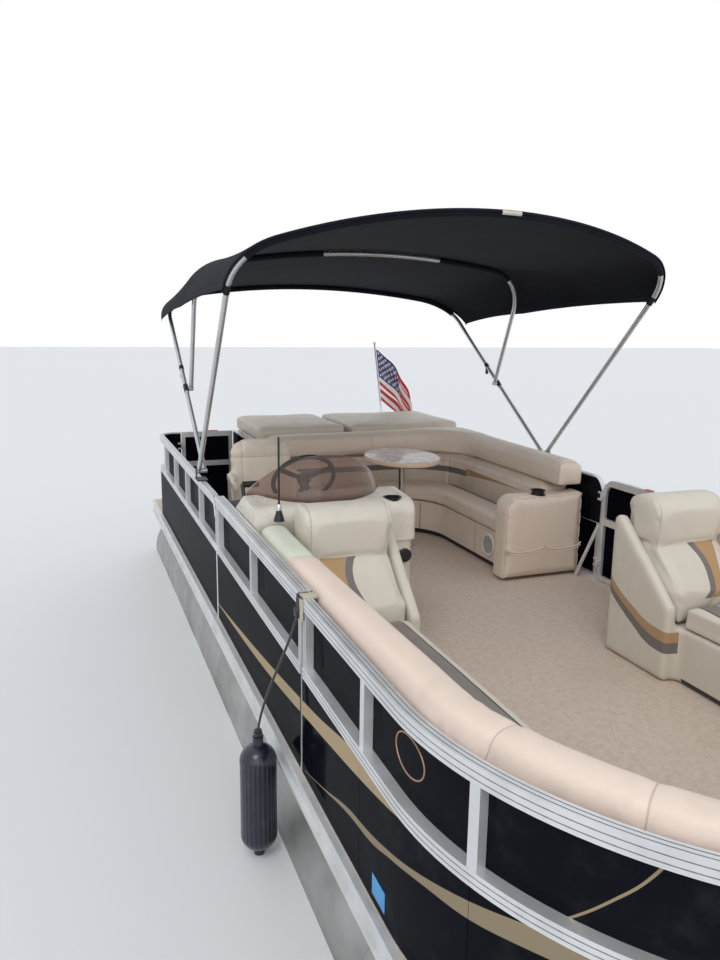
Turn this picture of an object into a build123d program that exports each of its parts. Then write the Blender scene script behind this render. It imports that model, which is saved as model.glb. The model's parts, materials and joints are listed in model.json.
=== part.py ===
from build123d import *
import math
import os

os.makedirs("parts", exist_ok=True)

# A pontoon boat with two tubes, a fenced deck, lounges, a helm and a folding bimini top.
# Millimetres. X runs from the stern edge of the deck to the bow, Y to port, Z up from the keels' undersides.
# The whole boat is moved at the end so that the middle of its box is over the origin.

# Hull
DECK_LENGTH = 7160
DECK_WIDTH = 2540
DECK_TOP = 800
DECK_CORNER = 250
CARPET = 5
DECK_BOARD = 22
TUBE_RADIUS = 317.5
TUBE_SPACING = 1900
TUBE_AFT = -30
NOSE_START = 6100
NOSE_TIP = 7210
NOSE_TIP_HEIGHT = 560
NOSE_TIP_HALF = 60
NOSE_BULGE = 0.35
KEEL_HEIGHT = 18
KEEL_WIDTH = 14
BEAM_HEIGHT = 100
BEAM_FLANGE = 45
BEAM_WALL = 5
BEAM_PITCH = 400
BEAM_FIRST = 60
BRACKET_TOP = 200
BRACKET_FOOT = 270
BRACKET_WALL = 8
RUB_PLATE = 13
RUB_LIP = 12
RUB_LIP_HIGH = 14
RUB_HEIGHT = 104
FIT = 0.3
PIN_CLEAR = 0.4

# Fence, in plan offsets inward from its outer line
FENCE_WIDTH = DECK_WIDTH
STERN_FENCE = 435
BOW_FENCE_ARC = 5700
BOW_RADIUS_SIDE = 1125
BOW_TURN_SIDE = 55
BOW_RADIUS_FRONT = 450
BOW_GATE_HALF = 352
SUN_WALL_X = 1190
SUN_WALL_Y = 570
STERN_CORNER = 170
STERN_GATE_SIDE = FENCE_WIDTH / 2 - 195
RAIL_DEPTH = 35
POST = 32
SKIN = 3
POST_SET = 1
TOP_RAIL = 45
MID_RAIL = 43
BOTTOM_RAIL = 30
FENCE_TOP = 696
MID_RAIL_LOW = 387
AFT_SECTION_END = 3170
MIDDLE_SECTION_START = 3200
MIDDLE_SECTION_END = 4840
BOW_SECTION_START = 4870
PORT_GATE_AFT = 3318
PORT_GATE_FRONT = 4130
GATE_GAP = 8
CAP_THICK = 18
CAP_OVERHANG = 8
CORNER_ROUND = 110
EDGE_TUBE = 12
FENCE_FACE = FENCE_WIDTH / 2 - RAIL_DEPTH - SKIN

# Which point of a box or cylinder its place gives
STANDING = (Align.CENTER, Align.CENTER, Align.MIN)
AHEAD_OF = (Align.MIN, Align.CENTER, Align.MIN)
AFT_OF = (Align.MAX, Align.CENTER, Align.MIN)
FROM_CORNER = (Align.MIN, Align.MIN, Align.MIN)

# Furniture
SEAT_TOP = 385
SEAT_CUSHION = 115
TOE_KICK = 45
TOE_DEPTH = 30

parts = {}


def block(x0, x1, y0, y1, z0, z1):
    """Box between corners, with heights counted from the deck's top."""
    return Pos(x0, y0, DECK_TOP + z0) * Box(x1 - x0, y1 - y0, z1 - z0, align=FROM_CORNER)


def side_profile(points, y0, y1):
    """Solid across the boat from a profile of (x, height over the deck) points."""
    face = make_face(Polyline(*[(x, 0, DECK_TOP + z) for x, z in points], close=True))
    return Pos(0, y0, 0) * extrude(face, amount=y1 - y0, dir=(0, 1, 0))


def rounded(solid, axis, radius, keep=None):
    """Rounds the edges that run along an axis, or those of them that keep() picks."""
    edges = solid.edges().filter_by(axis)
    if keep:
        edges = edges.filter_by(keep)
    return fillet(edges, radius)


def rod(a, b, radius):
    """Round bar between two points."""
    a, b = Vector(*a), Vector(*b)
    return Solid.make_cylinder(radius, (b - a).length, Plane(origin=a, z_dir=b - a))


def tube(path, section_radius):
    """Round bar along a path."""
    start = Plane(origin=path @ 0, z_dir=path % 0)
    return sweep(start * Circle(section_radius), path=path)


def mirrored(solid):
    """The same piece on the other side of the boat."""
    return mirror(solid, about=Plane.XZ)


# Hull

TUBE_AXIS = KEEL_HEIGHT + TUBE_RADIUS
BEAM_TOP = DECK_TOP - CARPET - DECK_BOARD
BEAM_LOW = BEAM_TOP - BEAM_HEIGHT


def pontoon(side):
    """One tube with a nose that curves up from the keel and in from both sides."""
    run = NOSE_TIP - NOSE_START
    y = side * TUBE_SPACING / 2
    body = Pos(TUBE_AFT, y, TUBE_AXIS) * Rot(0, 90, 0) * Cylinder(
        TUBE_RADIUS, NOSE_TIP - TUBE_AFT, align=STANDING)
    rise = NOSE_TIP_HEIGHT - KEEL_HEIGHT
    middle = NOSE_START + run * 0.55
    belly = ThreePointArc((NOSE_START, KEEL_HEIGHT), (middle, KEEL_HEIGHT + rise * NOSE_BULGE),
                          (NOSE_TIP, NOSE_TIP_HEIGHT))
    top = TUBE_AXIS + TUBE_RADIUS + 1
    low = KEEL_HEIGHT - 1
    outline = [
        Line((NOSE_START, low), (NOSE_START, KEEL_HEIGHT)),
        belly,
        Line(belly @ 1, (NOSE_TIP, top)),
        Line((NOSE_TIP, top), (TUBE_AFT, top)),
        Line((TUBE_AFT, top), (TUBE_AFT, low)),
        Line((TUBE_AFT, low), (NOSE_START, low)),
    ]
    side_face = Plane.XZ * make_face(outline)
    side_cut = Pos(0, y + TUBE_RADIUS + 1, 0) * extrude(side_face, amount=2 * TUBE_RADIUS + 2, dir=(0, -1, 0))
    half = TUBE_RADIUS
    narrow = half - NOSE_TIP_HALF
    cheek = ThreePointArc((NOSE_START, half), (middle, half - narrow * NOSE_BULGE), (NOSE_TIP, NOSE_TIP_HALF))
    wall = half + 1
    plan = make_face([
        Line((NOSE_START, wall), (NOSE_START, half)),
        cheek,
        Line(cheek @ 1, (NOSE_TIP, 0)),
        Line((NOSE_TIP, 0), (TUBE_AFT, 0)),
        Line((TUBE_AFT, 0), (TUBE_AFT, wall)),
        Line((TUBE_AFT, wall), (NOSE_START, wall)),
    ])
    plan += mirror(plan, about=Plane.XZ)
    plan_cut = Pos(0, y, 0) * extrude(plan, amount=top, dir=(0, 0, 1))
    body = (body & side_cut) & plan_cut
    keel = Pos(TUBE_AFT + 170, y, 0) * Box(
        NOSE_START - TUBE_AFT - 170, KEEL_WIDTH, KEEL_HEIGHT + 2, align=AHEAD_OF)
    return body + keel


def deck_frame():
    """Cross beams on the brackets that run along both tubes."""
    half_width = DECK_WIDTH / 2
    count = int((DECK_LENGTH - 2 * BEAM_FIRST) // BEAM_PITCH) + 1
    low_flange = BEAM_LOW + BEAM_WALL
    top_flange = BEAM_TOP - BEAM_WALL
    channel = make_face(Polyline(
        (0, BEAM_LOW), (BEAM_FLANGE, BEAM_LOW), (BEAM_FLANGE, low_flange), (BEAM_WALL, low_flange),
        (BEAM_WALL, top_flange), (BEAM_FLANGE, top_flange), (BEAM_FLANGE, BEAM_TOP), (0, BEAM_TOP), close=True))
    channel = Plane.XZ * channel
    beam = Pos(0, half_width, 0) * extrude(channel, amount=DECK_WIDTH, dir=(0, -1, 0))
    frame = None
    for index in range(count):
        copy = Pos(BEAM_FIRST + index * BEAM_PITCH, 0, 0) * beam
        frame = copy if frame is None else frame + copy
    foot_low = TUBE_AXIS + 250
    outer = Polyline((-BRACKET_TOP / 2, BEAM_LOW), (BRACKET_TOP / 2, BEAM_LOW), (BRACKET_FOOT / 2, foot_low),
                     (-BRACKET_FOOT / 2, foot_low), close=True)
    top = BRACKET_TOP / 2 - BRACKET_WALL
    foot = BRACKET_FOOT / 2 - BRACKET_WALL
    under = BEAM_LOW - BRACKET_WALL
    inner = Polyline((-top, under), (top, under), (foot, foot_low), (-foot, foot_low), close=True)
    saddle = make_face(outer) - make_face(inner) - Pos(0, TUBE_AXIS) * Circle(TUBE_RADIUS + FIT)
    first = BEAM_FIRST
    last = NOSE_START
    for side in (-1, 1):
        rail = extrude(Plane.YZ * saddle, amount=last - first, dir=(1, 0, 0))
        frame += Pos(first, side * TUBE_SPACING / 2, 0) * rail
    return frame


def deck_outline(grow):
    """Deck plan with rounded bow corners, grown by a margin all round."""
    length = DECK_LENGTH + 2 * grow
    width = DECK_WIDTH + 2 * grow
    plan = Pos(-grow, -width / 2) * Rectangle(length, width, align=(Align.MIN, Align.MIN))
    bow = plan.vertices().filter_by(lambda v: v.X > DECK_LENGTH / 2)
    stern = plan.vertices().filter_by(lambda v: v.X < DECK_LENGTH / 2)
    plan = fillet(bow, DECK_CORNER + grow)
    stern = plan.vertices().filter_by(lambda v: v.X < 0.01 - grow)
    return fillet(stern, 20 + grow)


def deck_layer(z0, thickness):
    return Pos(0, 0, z0) * extrude(deck_outline(0), amount=thickness, dir=(0, 0, 1))


def rub_rail():
    """Extruded edge trim round the deck, with a lip along its top and another along its foot."""
    low = DECK_TOP - RUB_HEIGHT
    plate = Pos(0, 0, low) * extrude(deck_outline(RUB_PLATE) - deck_outline(0), amount=RUB_HEIGHT, dir=(0, 0, 1))
    lip = extrude(deck_outline(RUB_PLATE + RUB_LIP) - deck_outline(0), amount=RUB_LIP_HIGH, dir=(0, 0, 1))
    return plate + Pos(0, 0, low) * lip + Pos(0, 0, DECK_TOP - RUB_LIP_HIGH) * lip


# Fence

def bow_line(inset, start):
    """Starboard fence line from a station to the bow gate, inset from the outer line."""
    y = -FENCE_WIDTH / 2 + inset
    straight = Line((start, y), (BOW_FENCE_ARC, y))
    side = JernArc(start=straight @ 1, tangent=(1, 0), radius=BOW_RADIUS_SIDE - inset, arc_size=BOW_TURN_SIDE)
    front = JernArc(start=side @ 1, tangent=side % 1, radius=BOW_RADIUS_FRONT - inset, arc_size=90 - BOW_TURN_SIDE)
    face = Line(front @ 1, ((front @ 1).X, -BOW_GATE_HALF))
    return [straight, side, front, face]


def aft_line(inset, end):
    """Starboard fence line from the stern gate round the corner to a station, inset from the outer line."""
    x = STERN_FENCE + inset
    y = -FENCE_WIDTH / 2 + inset
    radius = STERN_CORNER - inset
    across = Line((x, -STERN_GATE_SIDE), (x, y + radius))
    corner = JernArc(start=across @ 1, tangent=(0, -1), radius=radius, arc_size=90)
    along = Line(corner @ 1, (end, y))
    return [across, corner, along]


def straight_line(inset, start, end):
    y = -FENCE_WIDTH / 2 + inset
    return [Line((start, y), (end, y))]


def port_aft_line(inset, end):
    """Line from the stern gate's inboard post round the port corner and forward, built on starboard."""
    x = STERN_FENCE + inset
    y = -FENCE_WIDTH / 2 + inset
    radius = STERN_CORNER - inset
    across = Line((x, SUN_WALL_Y + RAIL_DEPTH), (x, y + radius))
    corner = JernArc(start=across @ 1, tangent=(0, -1), radius=radius, arc_size=90)
    along = Line(corner @ 1, (end, y))
    return [across, corner, along]


SUN_WALL_START = STERN_FENCE + RAIL_DEPTH + SKIN + FIT


def sun_wall_line(inset):
    """Line of the sun deck's two walls: forward from the stern gate's post, then across to the port fence."""
    y = -SUN_WALL_Y - inset
    x = SUN_WALL_X + inset
    return [Line((SUN_WALL_START, y), (x, y)), Line((x, y), (x, FENCE_WIDTH / 2 - RAIL_DEPTH - SKIN - 1))]


def strip(line, near, far, z0, height):
    """Wall that follows a fence line between two insets."""
    outer = line(near)
    inner = line(far)
    ends = [Line(outer[0] @ 0, inner[0] @ 0), Line(outer[-1] @ 1, inner[-1] @ 1)]
    face = make_face(outer + inner + ends)
    return Pos(0, 0, DECK_TOP + z0) * extrude(face, amount=height, dir=(0, 0, 1))


def post(line, distance, near, far, z0, height):
    """Upright at a distance along a fence line."""
    wire = Wire(line(0))
    at = wire.position_at(distance, position_mode=PositionMode.LENGTH)
    along = wire.tangent_at(distance, position_mode=PositionMode.LENGTH)
    turn = math.degrees(math.atan2(along.Y, along.X))
    solid = Pos(0, near, 0) * Box(POST, far - near, height, align=(Align.CENTER, Align.MIN, Align.MIN))
    return Pos(at.X, at.Y, DECK_TOP + z0) * Rot(0, 0, turn) * solid


RAILS = [  # near, far, height over the deck, thickness
    (SKIN, RAIL_DEPTH, 0, BOTTOM_RAIL),
    (0, RAIL_DEPTH, MID_RAIL_LOW, MID_RAIL),
    (0, RAIL_DEPTH, FENCE_TOP - TOP_RAIL, TOP_RAIL),
]


def fence_frame(line, distances):
    frame = None
    for near, far, low, thick in RAILS:
        rail = strip(line, near, far, low, thick)
        frame = rail if frame is None else frame + rail
    for distance in distances:
        frame += post(line, distance, SKIN + POST_SET, RAIL_DEPTH - POST_SET, 0, FENCE_TOP)
    return frame


def fence_skins(line, distances):
    """Outer lower panels and inner upper panels, split into bays at the posts."""
    lower = strip(line, 0, SKIN, 7, MID_RAIL_LOW - 7)
    upper = strip(line, RAIL_DEPTH, RAIL_DEPTH + SKIN, MID_RAIL_LOW + 5, FENCE_TOP - MID_RAIL_LOW - 15)
    for distance in distances:
        wire = Wire(line(0))
        at = wire.position_at(distance, position_mode=PositionMode.LENGTH)
        along = wire.tangent_at(distance, position_mode=PositionMode.LENGTH)
        turn = math.degrees(math.atan2(along.Y, along.X))
        slot = Pos(at.X, at.Y, DECK_TOP) * Rot(0, 0, turn) * Box(2, 120, 2000)
        lower -= slot
        upper -= slot
    return lower, upper


def line_length(line):
    return Wire(line(0)).length


SIDE_Y = FENCE_WIDTH / 2
HALF_POST = POST / 2
BRACE_RADIUS = 12
BRACE_FOOT = (PORT_GATE_AFT - 123, -SIDE_Y + 114, DECK_TOP - BRACE_RADIUS)
BRACE_TOP = (PORT_GATE_AFT - HALF_POST, -SIDE_Y + RAIL_DEPTH - POST_SET - 4, DECK_TOP + MID_RAIL_LOW - 15)


def aft_starboard(inset):
    return aft_line(inset, AFT_SECTION_END)


def middle_starboard(inset):
    return straight_line(inset, MIDDLE_SECTION_START, MIDDLE_SECTION_END)


def bow_starboard(inset):
    return bow_line(inset, BOW_SECTION_START)


def aft_port(inset):
    return port_aft_line(inset, PORT_GATE_AFT)


def bow_port(inset):
    return bow_line(inset, PORT_GATE_FRONT)


def post_distances(line, count):
    """Posts at both ends and evenly between them."""
    length = line_length(line)
    gap = (length - POST) / (count - 1)
    return [HALF_POST + index * gap for index in range(count)]


SECTIONS = [  # line, posts, on port, ends with a rounded top corner as (station, side of the section)
    (aft_starboard, 6, False, [(AFT_SECTION_END, 1)]),
    (middle_starboard, 3, False, []),
    (bow_starboard, 5, False, []),
    (aft_port, 6, True, [(PORT_GATE_AFT, 1)]),
    (bow_port, 6, True, [(PORT_GATE_FRONT, -1)]),
]


def corner_pieces(end, side, y0, y1):
    """What a round top corner takes from a square end, and the bend between the top rail and the post."""
    x = end - side * CORNER_ROUND
    z = FENCE_TOP - CORNER_ROUND
    square = block(min(x, end), max(x, end), y0, y1, z, FENCE_TOP)
    around = block(min(x, end + side), max(x, end + side), y0 - 2 * SKIN, y1 + 2 * SKIN, z, FENCE_TOP + 1)
    axis = Pos(x, (y0 + y1) / 2, DECK_TOP + z) * Rot(90, 0, 0)
    disc = axis * Cylinder(CORNER_ROUND, 2 * RAIL_DEPTH)
    hole = axis * Cylinder(CORNER_ROUND - POST, 2 * RAIL_DEPTH)
    return around - disc, (square & disc) - hole


def edge_tube():
    """Round trim down the joint between the aft and middle panels, from the mid rail to the deck."""
    x = AFT_SECTION_END + EDGE_TUBE - 1
    y = -FENCE_WIDTH / 2 + EDGE_TUBE - 2
    return rod((x, y, DECK_TOP), (x, y, DECK_TOP + MID_RAIL_LOW + MID_RAIL), EDGE_TUBE)


floor_cut = block(0, DECK_LENGTH, -SIDE_Y, SIDE_Y, -2 * BRACE_RADIUS, FIT)
frames = {False: [], True: []}
lower_panels = []
upper_panels = []
for line, count, on_port, ends in SECTIONS:
    distances = post_distances(line, count)
    frame = fence_frame(line, distances)
    lower, upper = fence_skins(line, distances[1:-1])
    for end, side in ends:
        waste, bend = corner_pieces(end, side, -SIDE_Y, -SIDE_Y + RAIL_DEPTH)
        frame = frame - waste + bend
        upper -= waste
    if line is aft_starboard:
        frame += edge_tube()
    if line is middle_starboard:
        frame += strip(line, -CAP_OVERHANG, RAIL_DEPTH + CAP_OVERHANG, FENCE_TOP, CAP_THICK)
    if line is aft_port:
        frame += rod(BRACE_FOOT, BRACE_TOP, BRACE_RADIUS) - floor_cut
    if on_port:
        frame, lower, upper = mirrored(frame), mirrored(lower), mirrored(upper)
    frames[on_port].append(frame)
    lower_panels += lower.solids()
    upper_panels += upper.solids()


def sun_frame():
    """Rails and posts of the sun deck's two walls."""
    frame = None
    for near, far, low, thick in RAILS:
        rail = strip(sun_wall_line, near, far, low, thick)
        frame = rail if frame is None else frame + rail
    side = RAIL_DEPTH - SKIN - POST_SET
    inset = SKIN + POST_SET + side / 2
    first = SUN_WALL_START + side / 2
    places = [  # along the boat, across the boat
        (first, -SUN_WALL_Y - inset),
        (SUN_WALL_X + inset, -SUN_WALL_Y - inset),
        (SUN_WALL_X + inset, 350),
        (SUN_WALL_X + inset, SIDE_Y - RAIL_DEPTH - SKIN - 1 - side / 2),
    ]
    for x, y in places:
        frame += Pos(x, y, DECK_TOP) * Box(side, side, FENCE_TOP, align=STANDING)
    return frame


lower_panels += strip(sun_wall_line, 0, SKIN, 7, MID_RAIL_LOW - 7).solids()
upper_panels += strip(sun_wall_line, RAIL_DEPTH, RAIL_DEPTH + SKIN, MID_RAIL_LOW + 5,
                      FENCE_TOP - MID_RAIL_LOW - 15).solids()

parts["fence_starboard"] = frames[False]
parts["fence_port"] = frames[True]
parts["fence_sundeck"] = sun_frame()


def panel_place(panel):
    """Bow, stern or side: the flat panels of both sides, and the ones that bend around the two ends."""
    size = panel.bounding_box().size
    if min(size.X, size.Y) < 2 * SKIN:
        return "side"
    return "bow" if panel.center().X > DECK_LENGTH / 2 else "stern"


for place in ("side", "bow", "stern"):
    panels = [panel for panel in lower_panels + upper_panels if panel_place(panel) == place]
    parts["fence_" + place + "_panels"] = panels

parts["pontoon_port"] = pontoon(1)
parts["pontoon_starboard"] = pontoon(-1)
parts["deck_frame"] = deck_frame()
parts["deck_board"] = deck_layer(BEAM_TOP, DECK_BOARD)
parts["deck_carpet"] = deck_layer(DECK_TOP - CARPET, CARPET)
parts["rub_rail"] = rub_rail()


# Motor pod and outboard

TRANSOM_X = -270
TRANSOM_THICK = 45
TRANSOM_TOP = 750
POD_FRONT = 950
POD_HALF = 280
POD_LOW = 300
TILT_X = TRANSOM_X + 15
TILT_Z = TRANSOM_TOP + 45
TILT_STORED = 58
HOOK_DROP = 70
STEER_AFT = 105
COWL_LOW = 70
COWL_HIGH = 620
PLATE_DROP = 548
PROP_DROP = 738
PROP_RADIUS = 170


def motor_pod():
    """Welded pod under the deck that ends in the transom plate."""
    outline = [(POD_FRONT, BEAM_LOW), (POD_FRONT - 260, POD_LOW), (TRANSOM_X, POD_LOW), (TRANSOM_X, TRANSOM_TOP),
               (TRANSOM_X + TRANSOM_THICK, TRANSOM_TOP), (TRANSOM_X + TRANSOM_THICK, BEAM_LOW)]
    face = make_face(Polyline(*[(x, 0, z) for x, z in outline], close=True))
    return Pos(0, -POD_HALF, 0) * extrude(face, amount=2 * POD_HALF, dir=(0, 1, 0))


def at_motor(solid):
    """Moves a piece from the motor's own axes, X forward and Z up from the tilt pin, to its stored tilt."""
    return Pos(TILT_X, 0, TILT_Z) * Rot(0, TILT_STORED, 0) * solid


def clamp_bracket():
    """Two clamp plates over the transom with the tilt tube's bosses."""
    bracket = None
    for side in (-1, 1):
        y = side * 110
        plate = Pos(TRANSOM_X - 12, y, TRANSOM_TOP - 270) * Box(12, 60, 290, align=AHEAD_OF)
        saddle = Pos(TRANSOM_X - 12, y, TRANSOM_TOP) * Box(100, 60, 14, align=AHEAD_OF)
        hook = Pos(TRANSOM_X + TRANSOM_THICK, y, TRANSOM_TOP - HOOK_DROP) * Box(
            14, 60, HOOK_DROP + 14, align=AHEAD_OF)
        ear = Pos(TILT_X - 30, y, TRANSOM_TOP) * Box(60, 36, TILT_Z - TRANSOM_TOP + 26,
                                                     align=AHEAD_OF)
        piece = plate + saddle + hook + ear
        bracket = piece if bracket is None else bracket + piece
    bore = Pos(TILT_X, 0, TILT_Z) * Rot(90, 0, 0) * Cylinder(15.2, 400)
    bracket -= bore
    return bracket


def swivel_bracket():
    """Arm from the tilt tube back to the steering tube."""
    tilt_tube = Rot(90, 0, 0) * Cylinder(15, 290)
    arm = Pos(-STEER_AFT, 0, -30) * Box(STEER_AFT - 18, 150, 44, align=AHEAD_OF)
    hub = Rot(90, 0, 0) * Cylinder(28, 150)
    steer_tube = Pos(-STEER_AFT, 0, -280) * Cylinder(34, 320, align=STANDING)
    body = tilt_tube + hub + arm + steer_tube
    body -= Pos(-STEER_AFT, 0, -400) * Cylinder(20.3, 600, align=STANDING)
    return at_motor(body)


COWL_SECTIONS = [  # height, middle, length, width, corner
    (COWL_LOW, -250, 520, 350, 110),
    (250, -262, 570, 390, 130),
    (470, -255, 550, 370, 130),
    (COWL_HIGH, -225, 400, 270, 110),
]


def motor_cowl():
    """Powerhead cover that swells over its base and closes to a rounded top."""
    outlines = [Pos(middle, 0, height) * RectangleRounded(length, width, corner)
                for height, middle, length, width, corner in COWL_SECTIONS]
    body = loft(outlines)
    return at_motor(fillet(body.faces().sort_by(Axis.Z)[-1].edges(), 40))


def motor_leg():
    """Steering shaft, midsection, plate, gearcase and skeg."""
    shaft = Pos(-STEER_AFT, 0, -330) * Cylinder(20, COWL_LOW + 330, align=STANDING)
    top_yoke = Pos(-STEER_AFT + 40, 0, 45.5) * Box(220, 150, COWL_LOW - 45.5, align=AFT_OF)
    low_yoke = Pos(-STEER_AFT + 40, 0, -340) * Box(110, 100, 55, align=AFT_OF)
    spine = Pos(-STEER_AFT - 42, 0, -480) * Box(140, 110, 480 + COWL_LOW, align=AFT_OF)
    spine = rounded(spine, Axis.Z, 50)
    neck = Pos(-STEER_AFT - 20, 0, -PROP_DROP) * Box(150, 56, PROP_DROP - 470, align=AFT_OF)
    neck = rounded(neck, Axis.Z, 27)
    plate = Pos(-STEER_AFT + 20, 0, -PLATE_DROP - 4) * Box(330, 170, 8, align=AFT_OF)
    gear_axis = Pos(-STEER_AFT + 60, 0, -PROP_DROP) * Rot(0, -90, 0)
    gearcase = gear_axis * Cylinder(48, 300, align=STANDING)
    gearcase += Pos(-STEER_AFT + 60, 0, -PROP_DROP) * Rot(0, 90, 0) * Cone(
        48, 12, 90, align=STANDING)
    stub = Pos(-STEER_AFT - 239, 0, -PROP_DROP) * Rot(0, -90, 0) * Cylinder(
        11.5, 60, align=STANDING)
    skeg = make_face(Polyline((-90, 0, -PROP_DROP - 30), (-270, 0, -PROP_DROP - 30), (-250, 0, -PROP_DROP - 205),
                              (-200, 0, -PROP_DROP - 205), close=True))
    skeg = Pos(0, -6, 0) * extrude(skeg, amount=12, dir=(0, 1, 0))
    return at_motor(shaft + top_yoke + low_yoke + spine + neck + plate + gearcase + stub + skeg)


BLADE_SECTIONS = [  # radius, half chord, half thickness, turn of the section
    (34, 40, 8, 24),
    (100, 66, 6, 48),
    (PROP_RADIUS, 26, 2.5, 62),
]


def propeller():
    """Three twisted blades on a hub that slips over the shaft."""
    hub_x = -STEER_AFT - 246
    hub = Pos(hub_x, 0, -PROP_DROP) * Rot(0, -90, 0) * Cylinder(42, 90, align=STANDING)
    hub -= Pos(hub_x, 0, -PROP_DROP) * Rot(0, -90, 0) * Cylinder(12, 64, align=STANDING)
    blade = loft([Pos(0, 0, radius) * Rot(0, 0, turn) * Ellipse(chord, thick)
                  for radius, chord, thick, turn in BLADE_SECTIONS])
    for index in range(3):
        hub += Pos(hub_x - 46, 0, -PROP_DROP) * Rot(index * 120, 0, 0) * blade
    return at_motor(hub)


parts["motor_pod"] = motor_pod()
parts["outboard_clamp"] = clamp_bracket()
parts["outboard_swivel"] = swivel_bracket()
parts["outboard_cowl"] = motor_cowl()
parts["outboard_leg"] = motor_leg()
parts["propeller"] = propeller()

# Boarding ladder, folded flat on the stern deck

LADDER_Y = -840
LADDER_HALF = 180
LADDER_TUBE = 12.5
LADDER_PIN_X = -45
LADDER_PIN_Z = 22
LADDER_LENGTH = 400
LADDER_STACK = 34
LADDER_STEP = 60
LADDER_PIN = 5
LUG = 6
LUG_RADIUS = 10
CHEEK_OFF = LADDER_HALF + LADDER_TUBE + LUG / 2 + 1
FOLD_X = LADDER_PIN_X + LADDER_LENGTH
FOLD_Z = LADDER_PIN_Z + LADDER_STACK / 2


def ladder_bars(start, end, height, steps):
    """Two side tubes and the flat steps between them."""
    body = None
    for side in (-1, 1):
        y = LADDER_Y + side * LADDER_HALF
        bar = rod((start, y, DECK_TOP + height), (end, y, DECK_TOP + height), LADDER_TUBE)
        body = bar if body is None else body + bar
    for step in steps:
        body += Pos(LADDER_PIN_X + step, LADDER_Y, DECK_TOP + height) * Box(LADDER_STEP, 2 * LADDER_HALF, 18)
    return body


def cross_rod(x, y0, y1, height, radius):
    return rod((x, y0, DECK_TOP + height), (x, y1, DECK_TOP + height), radius)


def ladder_upper():
    """Upper section, lying forward on the deck, with lugs for the lower section's pins."""
    body = ladder_bars(LADDER_PIN_X, FOLD_X, LADDER_PIN_Z, (150, 310))
    bores = None
    for side in (-1, 1):
        y = LADDER_Y + side * (LADDER_HALF - LADDER_TUBE + LUG / 2)
        inner = y - side * LUG / 2
        end = y + side * LUG / 2
        body += block(FOLD_X - 14, FOLD_X + LUG_RADIUS, min(inner, end), max(inner, end), LADDER_PIN_Z - 8, FOLD_Z)
        body += cross_rod(FOLD_X, inner, end, FOLD_Z, LUG_RADIUS)
        body += cross_rod(FOLD_X, inner - side * 14, end, FOLD_Z, LADDER_PIN)
        outer = LADDER_Y + side * CHEEK_OFF
        body += cross_rod(LADDER_PIN_X, LADDER_Y + side * (LADDER_HALF - LADDER_TUBE + 1),
                          LADDER_Y + side * (LADDER_HALF + LADDER_TUBE - 1), LADDER_PIN_Z, LADDER_TUBE + 1.5)
        start = LADDER_Y + side * (LADDER_HALF - 30)
        bore = cross_rod(LADDER_PIN_X, start, outer, LADDER_PIN_Z, LADDER_PIN + PIN_CLEAR)
        bores = bore if bores is None else bores + bore
    return body - bores


def ladder_lower():
    """Lower section, folded back on top of the upper one."""
    height = LADDER_PIN_Z + LADDER_STACK
    body = ladder_bars(LADDER_PIN_X + 30, FOLD_X - 26, height, (120, 280))
    bores = None
    for side in (-1, 1):
        lug = LADDER_Y + side * (LADDER_HALF - LADDER_TUBE - 1 - LUG / 2)
        low = lug - LUG / 2
        bar = LADDER_Y + side * LADDER_HALF
        body += block(FOLD_X - 40, FOLD_X - 26, min(lug, bar), max(lug, bar), height - 6, height + 6)
        body += block(FOLD_X - 40, FOLD_X, low, low + LUG, FOLD_Z - 4, height + 6)
        body += cross_rod(FOLD_X, low, low + LUG, FOLD_Z, LUG_RADIUS)
        bore = cross_rod(FOLD_X, low - 20, low + LUG + 20, FOLD_Z, LADDER_PIN + PIN_CLEAR)
        bores = bore if bores is None else bores + bore
    return body - bores


def ladder_mounts():
    """Two cheek brackets on the stern edge that hold the ladder's pins."""
    mounts = []
    for side in (-1, 1):
        y = LADDER_Y + side * CHEEK_OFF
        cheek = block(LADDER_PIN_X - 16, 45, y - LUG / 2, y + LUG / 2, 0, 40)
        inner = LADDER_Y + side * (LADDER_HALF - LADDER_TUBE - 3)
        cheek += cross_rod(LADDER_PIN_X, inner, y, LADDER_PIN_Z, LADDER_PIN)
        mounts.append(cheek)
    return mounts


# Gates

def gate(width, round_top):
    """Gate from 0 to its width along X, outer face at Y 0 and depth towards +Y."""
    body = None
    for low, thick in ((12, BOTTOM_RAIL), (MID_RAIL_LOW, MID_RAIL), (FENCE_TOP - TOP_RAIL, TOP_RAIL)):
        rail = block(0, width, 0, POST, low, low + thick)
        body = rail if body is None else body + rail
    for x in (0, width - POST):
        body += block(x, x + POST, 0, POST, 12, FENCE_TOP)
    body += block(POST, width - POST, 10, 14, 12, FENCE_TOP - 10)
    if round_top:
        for end, side in ((0, -1), (width, 1)):
            waste, bend = corner_pieces(end, side, 0, POST)
            body = body - waste + bend
    return body


HINGE_AXIS_X = -GATE_GAP / 2
HINGE_AXIS_Y = RAIL_DEPTH + SKIN + 3
KNUCKLE = 6
KNUCKLE_HIGH = 30
GATE_PIN = 3
GATE_INSET = 2
GATE_HINGES = (110, 560)


def gate_knuckles():
    """Leaves and knuckles on the gate's inner face, bored for their pins."""
    body = None
    for z in GATE_HINGES:
        piece = Pos(HINGE_AXIS_X, HINGE_AXIS_Y, DECK_TOP + z) * Cylinder(
            KNUCKLE, KNUCKLE_HIGH, align=STANDING)
        piece += block(HINGE_AXIS_X, 26, POST, HINGE_AXIS_Y, z, z + KNUCKLE_HIGH)
        piece -= Pos(HINGE_AXIS_X, HINGE_AXIS_Y, DECK_TOP) * Cylinder(
            GATE_PIN + PIN_CLEAR, 2000, align=(Align.CENTER, Align.CENTER, Align.CENTER))
        body = piece if body is None else body + piece
    return body


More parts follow.
